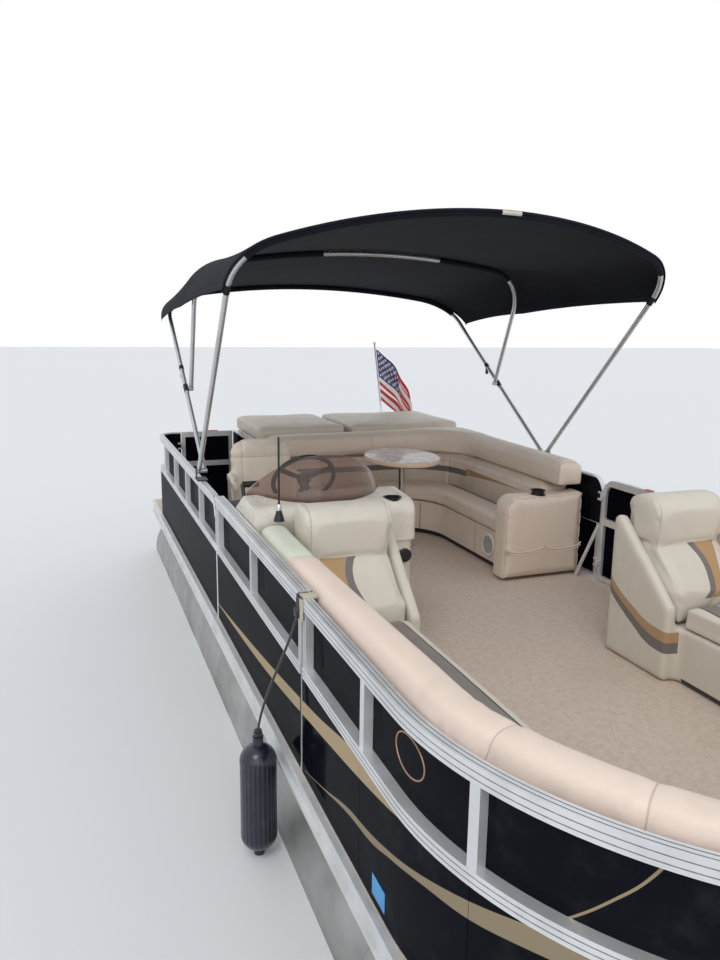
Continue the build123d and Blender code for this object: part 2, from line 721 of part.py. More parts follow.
def post_knuckles():
    """Leaves, knuckles and pins on the post beside the gate."""
    body = None
    for z in GATE_HINGES:
        low = z - FIT - 14
        high = z + KNUCKLE_HIGH + FIT
        face = RAIL_DEPTH - GATE_INSET + (SKIN if z > MID_RAIL_LOW else -POST_SET)
        piece = Pos(HINGE_AXIS_X, HINGE_AXIS_Y, DECK_TOP + low) * Cylinder(
            GATE_PIN, KNUCKLE_HIGH + 2 * FIT + 28, align=STANDING)
        for start in (low, high):
            piece += Pos(HINGE_AXIS_X, HINGE_AXIS_Y, DECK_TOP + start) * Cylinder(
                KNUCKLE, 14, align=STANDING)
            piece += block(-GATE_GAP - 26, HINGE_AXIS_X, face, HINGE_AXIS_Y + 2, start, start + 14)
        body = piece if body is None else body + piece
    return body


def hung_gate(width, round_top=False):
    return gate(width, round_top) + gate_knuckles()


GATE_SIDE_WIDTH = PORT_GATE_FRONT - PORT_GATE_AFT - 2 * GATE_GAP
STERN_GATE_INNER = SUN_WALL_Y + RAIL_DEPTH + SKIN
GATE_STERN_WIDTH = STERN_GATE_SIDE - STERN_GATE_INNER - 2 * GATE_GAP
GATE_BOW_WIDTH = 2 * BOW_GATE_HALF - 2 * GATE_GAP
BOW_FACE = Vector(*(bow_line(0, BOW_SECTION_START)[-1] @ 1)).X

AT_GATE_PORT = Pos(PORT_GATE_AFT + GATE_GAP, SIDE_Y - GATE_INSET, 0)
AT_GATE_BOW = Pos(BOW_FACE - GATE_INSET, -BOW_GATE_HALF + GATE_GAP, 0) * Rot(0, 0, 90)
AT_GATE_STERN = Pos(STERN_FENCE + GATE_INSET, -STERN_GATE_SIDE + GATE_GAP, 0) * Rot(0, 0, 90)
parts["gate_port"] = AT_GATE_PORT * mirrored(hung_gate(GATE_SIDE_WIDTH, round_top=True))
parts["gate_bow"] = AT_GATE_BOW * hung_gate(GATE_BOW_WIDTH)
parts["gate_stern"] = AT_GATE_STERN * mirrored(hung_gate(GATE_STERN_WIDTH))
parts["gate_hinges"] = [
    AT_GATE_PORT * mirrored(post_knuckles()),
    AT_GATE_BOW * post_knuckles(),
    AT_GATE_STERN * mirrored(post_knuckles()),
]

# Port lounge

LOUNGE_AFT = 1262
LOUNGE_END = 3180
LOUNGE_WALL = FENCE_FACE - 17
LOUNGE_FACE = LOUNGE_WALL - 515
LOUNGE_ARM = 160
AFT_SEAT_FACE = 1750
SEAT_CORNER = 400
BACK_DEEP = 250
BACK_CORNER = 420
SEAT_LOW = SEAT_TOP - SEAT_CUSHION
BACK_TOP = 610
BOLSTER_TOP = 800
SIDE_BOLSTER_DEEP = 205
BOLSTER_AFT = 1393
AFT_LOUNGE_STARBOARD = -560


def lounge_plan(face_inset, aft_start, end):
    """Plan of the L: port run and aft run with a rounded inner corner."""
    y0 = LOUNGE_FACE + face_inset
    x1 = AFT_SEAT_FACE - face_inset
    plan = make_face(Polyline((aft_start, AFT_LOUNGE_STARBOARD), (x1, AFT_LOUNGE_STARBOARD), (x1, y0), (end, y0),
                              (end, LOUNGE_WALL), (aft_start, LOUNGE_WALL), close=True))
    inner = plan.vertices().filter_by(lambda v: abs(v.X - x1) < 1 and abs(v.Y - y0) < 1)
    return fillet(inner, SEAT_CORNER)


def soft_top(solid, radius):
    """Rounds the edges of a cushion's top."""
    return solid.fillet(radius, solid.faces().sort_by(Axis.Z)[-1].edges())


def plan_solid(plan, z0, z1):
    return Pos(0, 0, DECK_TOP + z0) * extrude(plan, amount=z1 - z0, dir=(0, 0, 1))


ARM_START = LOUNGE_END - LOUNGE_ARM
lounge_base = plan_solid(lounge_plan(0, LOUNGE_AFT, ARM_START - FIT), TOE_KICK, SEAT_LOW)
lounge_base += plan_solid(lounge_plan(TOE_DEPTH, LOUNGE_AFT, ARM_START - FIT), 0, TOE_KICK)
parts["lounge_base"] = lounge_base


def lounge_wall(depth, z0, z1, end, corner, aft=LOUNGE_AFT):
    """Wall of an L along the aft and port edges, deep enough for a back cushion."""
    x0 = aft
    plan = make_face(Polyline((x0, AFT_LOUNGE_STARBOARD), (x0 + depth, AFT_LOUNGE_STARBOARD),
                              (x0 + depth, LOUNGE_WALL - depth), (end, LOUNGE_WALL - depth),
                              (end, LOUNGE_WALL), (x0, LOUNGE_WALL), close=True))
    inner = plan.vertices().filter_by(lambda v: abs(v.X - x0 - depth) < 1 and abs(v.Y - LOUNGE_WALL + depth) < 1)
    plan = fillet(inner, corner)
    outer = plan.vertices().filter_by(lambda v: abs(v.X - x0) < 1 and abs(v.Y - LOUNGE_WALL) < 1)
    plan = fillet(outer, 150)
    return plan_solid(plan, z0, z1)


CUSHION_GAP = 1
SEAT_EDGE = 28
ROLL_EDGE = 70
seat_plan = lounge_plan(-25, LOUNGE_AFT, ARM_START - CUSHION_GAP)
wall_cut = lounge_wall(BACK_DEEP + CUSHION_GAP, SEAT_LOW - 10, SEAT_TOP + 20, LOUNGE_END, BACK_CORNER)
seat = plan_solid(seat_plan, SEAT_LOW + FIT, SEAT_TOP) - wall_cut
parts["lounge_seat"] = soft_top(max(seat.solids(), key=lambda solid: solid.volume), SEAT_EDGE)
parts["lounge_back"] = lounge_wall(BACK_DEEP, SEAT_LOW + FIT, BACK_TOP, ARM_START - CUSHION_GAP, BACK_CORNER)
parts["lounge_bolster"] = soft_top(
    lounge_wall(SIDE_BOLSTER_DEEP, BACK_TOP + FIT, BOLSTER_TOP, LOUNGE_END, BACK_CORNER, BOLSTER_AFT), ROLL_EDGE)


def lounge_arm():
    """End arm with a rounded top and a cup holder."""
    body = block(ARM_START, LOUNGE_END, LOUNGE_FACE - 110, LOUNGE_WALL, 0, BACK_TOP - 20)
    corner = body.edges().filter_by(Axis.X).group_by(Axis.Z)[-1].sort_by(Axis.Y)[0]
    body = fillet(corner, 110)
    cup = Pos(ARM_START + LOUNGE_ARM / 2, LOUNGE_FACE + 190, DECK_TOP + BACK_TOP - 90)
    return body - cup * Cylinder(42, 200, align=STANDING)


parts["lounge_arm"] = lounge_arm()

# Sun deck over the stern, behind the lounge

SUN_AFT = 478
SUN_FRONT = 1382
SUN_STARBOARD = -612
SUN_PORT = FENCE_FACE - 7
SUN_SPLIT = 180
SUN_BASE_TOP = 712
SUN_BOARD = 15
SUN_PAD = 125
SUN_LID_GAP = 8
SUN_BASE_CLEAR = 8

SUN_INNER = FENCE_WIDTH / 2 - RAIL_DEPTH - SKIN - SUN_BASE_CLEAR
SUN_BASE_AFT = STERN_FENCE + RAIL_DEPTH + SKIN + SUN_BASE_CLEAR
SUN_BASE_FRONT = SUN_WALL_X - SUN_BASE_CLEAR
SUN_BASE_SIDE = -SUN_WALL_Y + SUN_BASE_CLEAR
sun_base = block(SUN_BASE_AFT, SUN_BASE_FRONT, SUN_BASE_SIDE, SUN_INNER, 0, SUN_BASE_TOP)
port_aft_corner = sun_base.edges().filter_by(Axis.Z).sort_by(lambda e: e.center().X - e.center().Y)[0]
sun_base = fillet(port_aft_corner, STERN_CORNER - RAIL_DEPTH)
storage = block(SUN_BASE_AFT + SUN_BOARD, SUN_BASE_FRONT - SUN_BOARD, SUN_BASE_SIDE + SUN_BOARD,
                SUN_INNER - SUN_BOARD, SUN_BOARD, SUN_BASE_TOP + 1)
storage_corner = storage.edges().filter_by(Axis.Z).sort_by(lambda e: e.center().X - e.center().Y)[0]
parts["sundeck_base"] = sun_base - fillet(storage_corner, STERN_CORNER - RAIL_DEPTH - SUN_BOARD)


SUN_ROLL = 130
SUN_GROOVE = 16


def sun_pad(y0, y1):
    """Padded lid with a roll along its front edge, behind a sewn groove."""
    low = SUN_BASE_TOP + FIT
    top = SUN_BASE_TOP + SUN_PAD
    roll = SUN_FRONT - SUN_ROLL
    pad = side_profile([(SUN_AFT, low), (SUN_FRONT, low), (SUN_FRONT, top), (roll + SUN_GROOVE, top),
                        (roll, top - SUN_GROOVE), (roll - SUN_GROOVE, top), (SUN_AFT, top)], y0, y1)
    front = pad.edges().filter_by(Axis.Y).sort_by(Axis.X)[-2:]
    pad = fillet(front, 50)
    outline = rounded(block(SUN_AFT, SUN_FRONT, y0, y1, SUN_BASE_TOP, top), Axis.Z, 60)
    return pad & outline


parts["sun_pad_port"] = sun_pad(SUN_SPLIT + SUN_LID_GAP / 2, SUN_PORT)
parts["sun_pad_starboard"] = sun_pad(SUN_STARBOARD, SUN_SPLIT - SUN_LID_GAP / 2)

# Bow lounges

BOW_LOUNGES = {"starboard": 3970, "port": 4270}
BOW_SEAT_WALL = FENCE_FACE - 7
BOW_SEAT_FACE = BOW_SEAT_WALL - 585
BOW_LOUNGE_FRONT = 5900
LEAN_BASE = 440
HEAD_DEEP = 250
HEAD_LOW = 605
HEAD_TOP = 870
HEAD_ROUND = 95
WING = 60
WING_TOP = 730
WING_LOW = 367
WING_CREST = 50
BACK_GAP = 165
BOW_CLEAR = 60


def bow_room(clear):
    """Space inside the starboard bow fence, kept clear of its panels."""
    outline = bow_line(RAIL_DEPTH + SKIN + clear - 40, 3000)
    last = outline[-1] @ 1
    first = outline[0] @ 0
    middle = [Line(last, (last.X, 0)), Line((last.X, 0), (first.X, 0)), Line((first.X, 0), first)]
    face = make_face(outline + middle)
    return Pos(0, 0, DECK_TOP - 1) * extrude(face, amount=1500, dir=(0, 0, 1))


def bow_lounge(start):
    """Base with a wing beside the back, seat cushion and leaning back with its head roll, built on port."""
    y0, y1 = BOW_SEAT_FACE, BOW_SEAT_WALL
    cushion = y0 - 15
    box_plan = make_face(Polyline((start, y0), (BOW_LOUNGE_FRONT, y0), (BOW_LOUNGE_FRONT, y1), (start, y1),
                                  close=True))
    room = mirrored(bow_room(BOW_CLEAR))
    wing = side_profile([(start, 0), (start + LEAN_BASE, 0), (start + LEAN_BASE, WING_LOW),
                         (start + WING_CREST, WING_TOP), (start, WING_TOP)], cushion - WING, cushion - CUSHION_GAP)
    wing = fillet(wing.edges().filter_by(Axis.Y).group_by(Axis.Z)[-1], WING_CREST / 2 - 1)
    foot = block(start, start + LEAN_BASE, cushion - WING, y0, 0, SEAT_LOW)
    base = (plan_solid(box_plan, 0, SEAT_LOW) & room) + wing + foot
    seat_plan = make_face(Polyline((start + LEAN_BASE, cushion), (BOW_LOUNGE_FRONT + 10, cushion),
                                   (BOW_LOUNGE_FRONT + 10, y1), (start + LEAN_BASE, y1), close=True))
    front = seat_plan.vertices().filter_by(lambda v: v.X > BOW_LOUNGE_FRONT and v.Y < y0)
    seat_plan = fillet(front, 120)
    seat = plan_solid(seat_plan, SEAT_LOW + FIT, SEAT_TOP) & room
    lean = side_profile([(start, SEAT_LOW + FIT), (start + LEAN_BASE - CUSHION_GAP, SEAT_LOW + FIT),
                         (start + LEAN_BASE - CUSHION_GAP, SEAT_TOP + 40), (start + HEAD_DEEP - 20, HEAD_LOW + 20),
                         (start, HEAD_LOW + 20)], cushion, y1 - BACK_GAP)
    head = side_profile([(start, HEAD_LOW), (start + HEAD_DEEP, HEAD_LOW), (start + HEAD_DEEP, HEAD_TOP),
                         (start, HEAD_TOP)], cushion, y1 - BACK_GAP)
    head = fillet(head.edges().filter_by(Axis.Y).group_by(Axis.Z)[-1], HEAD_ROUND)
    head = fillet(head.edges().filter_by(Axis.Y).group_by(Axis.Z)[0].sort_by(Axis.X)[-1], HEAD_ROUND / 2)
    return base, seat, lean + head


for side, start in BOW_LOUNGES.items():
    base, seat, back = bow_lounge(start)
    if side == "starboard":
        base, seat, back = mirrored(base), mirrored(seat), mirrored(back)
    parts["bow_lounge_base_" + side] = base
    parts["bow_lounge_seat_" + side] = seat
    parts["bow_lounge_back_" + side] = back

BOLSTER_INSET = 56
BOLSTER_DEEP = 150
SIDE_BOLSTER_TOP = 755
BOLSTER_ROUND = 60
BOLSTER_SPLIT = 4440


def side_bolster(start, split):
    """Padded wall along the bow fence, above the seat, built on starboard."""
    def line(inset):
        return bow_line(inset, start)[:3]
    body = strip(line, BOLSTER_INSET, BOLSTER_INSET + BOLSTER_DEEP, SEAT_TOP + 1, SIDE_BOLSTER_TOP - SEAT_TOP - 1)
    if split:
        body -= block(split - 1, split + 1, -SIDE_Y, 0, 0, SIDE_BOLSTER_TOP)
    return [soft_top(solid, BOLSTER_ROUND) for solid in body.solids()]


parts["side_bolster_starboard"] = side_bolster(BOW_LOUNGES["starboard"] - 10, BOLSTER_SPLIT)
parts["side_bolster_port"] = [mirrored(solid) for solid in side_bolster(BOW_LOUNGES["port"] + 30, None)]

# Helm

CONSOLE_AFT = 3420
CONSOLE_FRONT = 3940
CONSOLE_WALL = -FENCE_FACE + 10
CONSOLE_WIDE = 822
CONSOLE_INBOARD = CONSOLE_WALL + CONSOLE_WIDE
CONSOLE_LIP = 615
CONSOLE_TOP = 800
CONSOLE_ROUND = 80
DASH_OVERHANG = 12
WHEEL_RADIUS = 175
WHEEL_X = 3290
WHEEL_Y = CONSOLE_WALL + 432
WHEEL_Z = 800
WHEEL_LEAN = 35


def console():
    """Moulded helm: a cabinet under a wider dash with a round front that slopes towards the driver."""
    cabinet = block(CONSOLE_AFT + 40, CONSOLE_FRONT, CONSOLE_WALL, CONSOLE_INBOARD, 0, CONSOLE_LIP)
    cabinet = rounded(cabinet, Axis.Z, 50, lambda e: e.center().Y > CONSOLE_INBOARD - 10)
    front = CONSOLE_FRONT + DASH_OVERHANG
    dash = side_profile([(CONSOLE_AFT + 40, CONSOLE_LIP - 20), (front, CONSOLE_LIP - 20), (front, CONSOLE_TOP),
                         (CONSOLE_FRONT - 240, CONSOLE_TOP + 20), (CONSOLE_AFT, CONSOLE_LIP + 60)],
                        CONSOLE_WALL, CONSOLE_INBOARD + DASH_OVERHANG)
    nose = dash.edges().filter_by(Axis.Y).sort_by(lambda e: e.center().X + e.center().Z)[-1]
    dash = fillet(nose, CONSOLE_ROUND)
    inboard = dash.edges().filter_by(lambda e: e.center().Y > CONSOLE_INBOARD + DASH_OVERHANG - 1
                                     and e.center().Z > DECK_TOP + CONSOLE_LIP + 65)
    dash = fillet(inboard, CONSOLE_ROUND / 2)
    body = cabinet + dash
    cup = Pos(CONSOLE_FRONT - 60, CONSOLE_INBOARD - 100, DECK_TOP + CONSOLE_TOP - 90) * Cylinder(
        40, 200, align=STANDING)
    return body - cup


SCREEN_X = CONSOLE_FRONT - 400
SCREEN_Y = CONSOLE_WALL + 392
SCREEN_FOOT = 390
SCREEN_CROWN = 270
SCREEN_HIGH = 300
SCREEN_THICK = 5


def windscreen():
    """Tinted wrap of a cone around the dash's front, its edge arched like a bubble."""
    base = DECK_TOP + CONSOLE_TOP - 60
    low = STANDING
    outer = Pos(SCREEN_X, SCREEN_Y, base) * Cone(SCREEN_FOOT, SCREEN_CROWN, SCREEN_HIGH, align=low)
    inner = Pos(SCREEN_X, SCREEN_Y, base) * Cone(
        SCREEN_FOOT - SCREEN_THICK, SCREEN_CROWN - SCREEN_THICK, SCREEN_HIGH, align=low)
    half = SCREEN_FOOT - 30
    arch_face = make_face([ThreePointArc((-half, 0), (0, 225), (half, 0)), Line((half, 0), (half, -80)),
                           Line((half, -80), (-half, -80)), Line((-half, -80), (-half, 0))])
    cut = Pos(SCREEN_X + 60, SCREEN_Y, base + 62) * extrude(Plane.YZ * arch_face, amount=SCREEN_FOOT, dir=(1, 0, 0))
    return (outer - inner) & cut


def steering_wheel():
    """Rim, three spokes and hub on a short shaft, leaning towards the driver."""
    place = Pos(WHEEL_X, WHEEL_Y, DECK_TOP + WHEEL_Z) * Rot(0, -90 + WHEEL_LEAN, 0)
    wheel = Torus(WHEEL_RADIUS, 13)
    wheel += Cylinder(38, 26)
    for index in range(3):
        wheel += Rot(0, 0, 60 + index * 120) * Pos(WHEEL_RADIUS / 2, 0, 0) * Box(WHEEL_RADIUS - 10, 26, 12)
    wheel += Pos(0, 0, -70) * Cylinder(18, 80, align=STANDING)
    return place * wheel


THROTTLE_Y = CONSOLE_WALL + 72
GRIP_REACH = 90


def throttle():
    """Control box on the side of the dash with its lever and a grip across its top."""
    foot = (CONSOLE_AFT - 60, THROTTLE_Y + 10, DECK_TOP + 670)
    head = (CONSOLE_AFT - 130, THROTTLE_Y + 10, DECK_TOP + 790)
    box = block(CONSOLE_AFT - 150, CONSOLE_AFT - FIT, CONSOLE_WALL + 7, THROTTLE_Y, 600, 700)
    lever = rod(foot, head, 11)
    grip = rod(head, (head[0], head[1] + GRIP_REACH, head[2]), 17)
    boss = rod((foot[0], THROTTLE_Y - 10, foot[2]), (foot[0], THROTTLE_Y + 20, foot[2]), 24)
    return box + lever + grip + boss


ANTENNA_X = CONSOLE_FRONT + 50
ANTENNA_Y = CONSOLE_WALL + 102
ANTENNA_TOP = 1150


def antenna():
    """Whip on a small foot, standing on the side bolster."""
    low = DECK_TOP + SIDE_BOLSTER_TOP
    foot = Pos(ANTENNA_X, ANTENNA_Y, low) * Cone(26, 12, 50, align=STANDING)
    return foot + rod((ANTENNA_X, ANTENNA_Y, low + 40), (ANTENNA_X, ANTENNA_Y, DECK_TOP + ANTENNA_TOP), 5)


parts["console"] = console()
screen = windscreen() - parts["console"]
parts["windscreen"] = max(screen.solids(), key=lambda solid: solid.center().Z * solid.volume)
parts["steering_wheel"] = steering_wheel()
parts["throttle"] = throttle()
parts["antenna"] = antenna()

CHAIR_X = 2640
CHAIR_Y = CONSOLE_WALL + 392
CHAIR_HALF = 220
CHAIR_SEAT = 490
CHAIR_BACK = 930
CHAIR_ROUND = 130
CHAIR_BACK_THICK = 95
CHAIR_LEAN = 7
CHAIR_ARM = 640


def chair_pedestal():
    at = Pos(CHAIR_X, CHAIR_Y, DECK_TOP)
    foot = at * Cylinder(170, 12, align=STANDING)
    foot += at * Cylinder(36, 330, align=STANDING)
    return foot


def chair():
    """Swivelling bucket seat with a round-topped back and padded arms, its column over the pedestal."""
    at = Pos(CHAIR_X, CHAIR_Y, DECK_TOP)
    plate = at * Pos(0, 0, 331) * Box(240, 240, 20, align=STANDING)
    seat = block(CHAIR_X - 200, CHAIR_X + 240, CHAIR_Y - 200, CHAIR_Y + 200, 351, CHAIR_SEAT)
    seat = soft_top(rounded(seat, Axis.Z, 60), 35)
    high = CHAIR_BACK - 400
    shape = Rectangle(2 * CHAIR_HALF, high, align=(Align.CENTER, Align.MIN))
    shape = fillet(shape.vertices().group_by(Axis.Y)[-1], CHAIR_ROUND)
    back = extrude(Plane.YZ * shape, amount=CHAIR_BACK_THICK, dir=(1, 0, 0))
    back = fillet(back.faces().sort_by(Axis.X)[-1].edges(), 30)
    back = Pos(CHAIR_X - 200, CHAIR_Y, DECK_TOP + 400) * Rot(0, -CHAIR_LEAN, 0) * back
    body = plate + seat + back
    for side in (-1, 1):
        y = CHAIR_Y + side * (CHAIR_HALF + 12)
        arm = block(CHAIR_X - 190, CHAIR_X + 150, y - 27, y + 27, CHAIR_ARM, CHAIR_ARM + 70)
        arm = fillet(arm.edges().filter_by(Axis.X), 24)
        stay = side_profile([(CHAIR_X - 180, 400), (CHAIR_X - 20, 400), (CHAIR_X - 60, CHAIR_ARM + 20),
                             (CHAIR_X - 180, CHAIR_ARM + 20)], y - 20, y + 20)
        body += arm + stay
    return body


parts["chair_pedestal"] = chair_pedestal()
parts["chair"] = chair()

# Table

TABLE_X = 2140
TABLE_Y = 320
TABLE_TOP = 700
TABLE_LONG = 350
TABLE_WIDE = 270
table_at = Pos(TABLE_X, TABLE_Y, DECK_TOP)
parts["table_pedestal"] = (
    table_at * Cylinder(110, 14, align=STANDING)
    + table_at * Cylinder(26, TABLE_TOP - 40, align=STANDING)
    + table_at * Pos(0, 0, TABLE_TOP - 52) * Cylinder(70, 12, align=STANDING))
table_top = extrude(Ellipse(TABLE_LONG, TABLE_WIDE), amount=40, dir=(0, 0, 1))
table_top = Pos(TABLE_X, TABLE_Y, DECK_TOP + TABLE_TOP - 40) * table_top
parts["table_top"] = fillet(table_top.edges(), 12)

# Bimini top

BOW_TUBE = 15
PIN_RADIUS = 5
HINGE_X = 2620
HINGE_Y = FENCE_WIDTH / 2 - 4
MOUNT_INNER = HINGE_Y - 46
MOUNT_OUTER = HINGE_Y + 20
HINGE_HEIGHT = 752
BOWS = {  # angle over the horizontal ahead, crown reach, radius of the crown, radius of the corners
    "front": (47.5, 1960, 2780, 320),
    "rear": (146, 2150, 3400, 360),
}
MIDDLE_PIVOT = 810
MIDDLE_LEAN = 68
MIDDLE_CROWN = 990
MIDDLE_ROUND = 5500
MIDDLE_CORNER = 300


def arch_spring(half, crown, crown_radius, corner):
    """Height at which the straight legs of a bow end and its corners begin."""
    return crown - crown_radius + math.sqrt((crown_radius - corner) ** 2 - (half - corner) ** 2)


def arch(half, foot, crown, crown_radius, corner):
    """Flat arch in its own plane: straight legs, corner arcs and a shallow crown, all tangent."""
    spring = arch_spring(half, crown, crown_radius, corner)
    across = (half - corner) * crown_radius / (crown_radius - corner)
    meet = crown - crown_radius + math.sqrt(crown_radius ** 2 - across ** 2)
    turn = math.atan2(meet - spring, across - half + corner) / 2
    knee = (half - corner + corner * math.cos(turn), spring + corner * math.sin(turn))
    return [
        Line((half, foot), (half, spring)),
        ThreePointArc((half, spring), knee, (across, meet)),
        ThreePointArc((across, meet), (0, crown), (-across, meet)),
        ThreePointArc((-across, meet), (-knee[0], knee[1]), (-half, spring)),
        Line((-half, spring), (-half, foot)),
    ]


def bow_plane(angle, x=HINGE_X, z=HINGE_HEIGHT):
    """Plane through a hinge line: its X runs to port and its Y along the leg."""
    along = (math.cos(math.radians(angle)), 0, math.sin(math.radians(angle)))
    return Plane(origin=(x, 0, DECK_TOP + z), x_dir=(0, 1, 0), z_dir=Vector(0, 1, 0).cross(Vector(*along)))


def bow_tube(plane, half, foot, crown, crown_radius, corner):
    """Bent tube with an eye for its pin at the foot of each leg."""
    path = plane * Wire(arch(half, foot, crown, crown_radius, corner))
    body = tube(path, BOW_TUBE)
    for side in (-1, 1):
        eye = Plane(origin=plane.from_local_coords((side * half, 0, 0)), z_dir=(0, 1, 0))
        body += extrude(eye * Circle(BOW_TUBE), amount=BOW_TUBE, both=True)
        pin = plane.from_local_coords((side * half, 0, 0))
        body += rod(pin, plane.from_local_coords((side * half, foot, 0)), BOW_TUBE - 2)
        body -= extrude(eye * Circle(PIN_RADIUS + PIN_CLEAR), amount=2 * BOW_TUBE, both=True)
    return body


front_plane = bow_plane(BOWS["front"][0])
rear_plane = bow_plane(BOWS["rear"][0])
rear_angle = math.radians(BOWS["rear"][0])
MIDDLE_X = HINGE_X + MIDDLE_PIVOT * math.cos(rear_angle)
MIDDLE_Z = HINGE_HEIGHT + MIDDLE_PIVOT * math.sin(rear_angle)
middle_plane = bow_plane(MIDDLE_LEAN, MIDDLE_X, MIDDLE_Z)

PIVOT_STEP = 2 * BOW_TUBE + 4
front_bow = bow_tube(front_plane, HINGE_Y, 30, *BOWS["front"][1:])
rear_bow = bow_tube(rear_plane, HINGE_Y - PIVOT_STEP, 30, *BOWS["rear"][1:])
middle_bow = bow_tube(middle_plane, HINGE_Y - 2 * PIVOT_STEP, 20, MIDDLE_CROWN, MIDDLE_ROUND, MIDDLE_CORNER)
parts["bimini_bow_front"] = front_bow
for side in (-1, 1):
    rear_bow += rod((MIDDLE_X, side * (HINGE_Y - PIVOT_STEP), DECK_TOP + MIDDLE_Z),
                    (MIDDLE_X, side * (HINGE_Y - 2 * PIVOT_STEP - BOW_TUBE - 4), DECK_TOP + MIDDLE_Z), PIN_RADIUS)
parts["bimini_bow_rear"] = rear_bow
parts["bimini_bow_middle"] = middle_bow


CANVAS_THICK = 5
CANVAS_HEM = 12


def canvas_section(plane, half, over, crown, crown_radius, corner):
    """Thin arched section over a bow, from hem to hem."""
    foot = arch_spring(half, crown, crown_radius, corner) - CANVAS_HEM
    inner = arch(half + over, foot, crown + over, crown_radius + over, corner + over)
    grow = over + CANVAS_THICK
    outer = arch(half + grow, foot, crown + grow, crown_radius + grow, corner + grow)
    ends = [Line(outer[0] @ 0, inner[0] @ 0), Line(outer[-1] @ 1, inner[-1] @ 1)]
    return plane * make_face(outer + inner + ends)


CANVAS_SECTIONS = [  # plane, half width of the bow, canvas over the tube's axis, crown, its radius, corner radius
    (front_plane, HINGE_Y, 24, *BOWS["front"][1:]),
    (middle_plane, HINGE_Y, 21, MIDDLE_CROWN, MIDDLE_ROUND, MIDDLE_CORNER),
    (rear_plane, HINGE_Y, 30, *BOWS["rear"][1:]),
]
parts["bimini_canvas"] = loft([canvas_section(*section) for section in CANVAS_SECTIONS], ruled=True)


def bimini_mounts():
    """Hinge blocks on both top rails, each with a pin that carries the legs."""
    mounts = None
    for side in (-1, 1):
        base = Pos(HINGE_X, side * (MOUNT_INNER + MOUNT_OUTER) / 2, DECK_TOP + FENCE_TOP) * Box(
            110, MOUNT_OUTER - MOUNT_INNER, 8, align=STANDING)
        base += Pos(HINGE_X, side * MOUNT_OUTER, DECK_TOP + FENCE_TOP) * Box(
            36, 5, HINGE_HEIGHT - FENCE_TOP + 16, align=(Align.CENTER, Align.MAX if side > 0 else Align.MIN, Align.MIN))
        base += rod((HINGE_X, side * MOUNT_OUTER, DECK_TOP + HINGE_HEIGHT),
                    (HINGE_X, side * (HINGE_Y - PIVOT_STEP - 6), DECK_TOP + HINGE_HEIGHT), PIN_RADIUS)
        mounts = base if mounts is None else mounts + base
    return mounts


parts["bimini_mounts"] = bimini_mounts()

# Flag, fender and cleats

STAFF_RADIUS = 9
STAFF_OFF_RAIL = 60
STAFF_FOOT = (STERN_FENCE - STAFF_OFF_RAIL, 900, DECK_TOP + FENCE_TOP - 100)
STAFF_TOP = (STERN_FENCE - 265, 870, DECK_TOP + 1470)
SOCKET_RADIUS = 14
SOCKET_HIGH = 90
staff_up = (Vector(*STAFF_TOP) - Vector(*STAFF_FOOT)).normalized()
staff = rod(STAFF_FOOT, STAFF_TOP, STAFF_RADIUS)
staff += Pos(*STAFF_TOP) * Sphere(16)
staff += rod(STAFF_FOOT, Vector(*STAFF_FOOT) + staff_up * SOCKET_HIGH, SOCKET_RADIUS)
staff += block(STERN_FENCE - STAFF_OFF_RAIL - 5, STERN_FENCE, STAFF_FOOT[1] - 9, STAFF_FOOT[1] + 9,
               FENCE_TOP - 84, FENCE_TOP - 60)
staff += block(STERN_FENCE - 6, STERN_FENCE, STAFF_FOOT[1] - 20, STAFF_FOOT[1] + 20, FENCE_TOP - 90, FENCE_TOP - 4)
parts["flag_staff"] = staff
FLAG_THICK = 4
FLAG_HOIST = 508
FLAG_FLY = 762
FLAG_BELOW_TOP = 60
FLAG_WAVE = 18
FLAG_WAVES = 3
fly = Vector(0.15, 0.5, -0.85).normalized()
off_staff = (fly - staff_up * fly.dot(staff_up)).normalized()
luff = Vector(*STAFF_TOP) - staff_up * FLAG_BELOW_TOP + off_staff * (STAFF_RADIUS + FLAG_THICK)
flag_plane = Plane(origin=luff, x_dir=fly, z_dir=fly.cross(fly.cross(staff_up).normalized()))


def flag():
    """Cloth that hangs from the staff in soft waves, its stripes running down and away from the hoist."""
    step = FLAG_FLY / FLAG_WAVES
    faces = []
    for offset in (FLAG_THICK / 2, -FLAG_THICK / 2):
        waves = []
        for index in range(FLAG_WAVES):
            crest = ((index + 0.5) * step, offset + FLAG_WAVE * (-1) ** index)
            waves.append(ThreePointArc((index * step, offset), crest, ((index + 1) * step, offset)))
        faces.append(waves)
    ends = [Line(faces[0][0] @ 0, faces[1][0] @ 0), Line(faces[0][-1] @ 1, faces[1][-1] @ 1)]
    return extrude(flag_plane * make_face(faces[0] + faces[1] + ends), amount=FLAG_HOIST, dir=-staff_up)


parts["flag"] = flag()

FENDER_X = 4600
FENDER_RADIUS = 75
FENDER_OFF_RAIL = 6
FENDER_Y = -(DECK_WIDTH / 2 + RUB_PLATE + RUB_LIP + FENDER_OFF_RAIL + FENDER_RADIUS)
FENDER_TOP = 30
FENDER_LENGTH = 540
FENDER_NECK = 22
NECK_LENGTH = 40
SHOULDER = 75


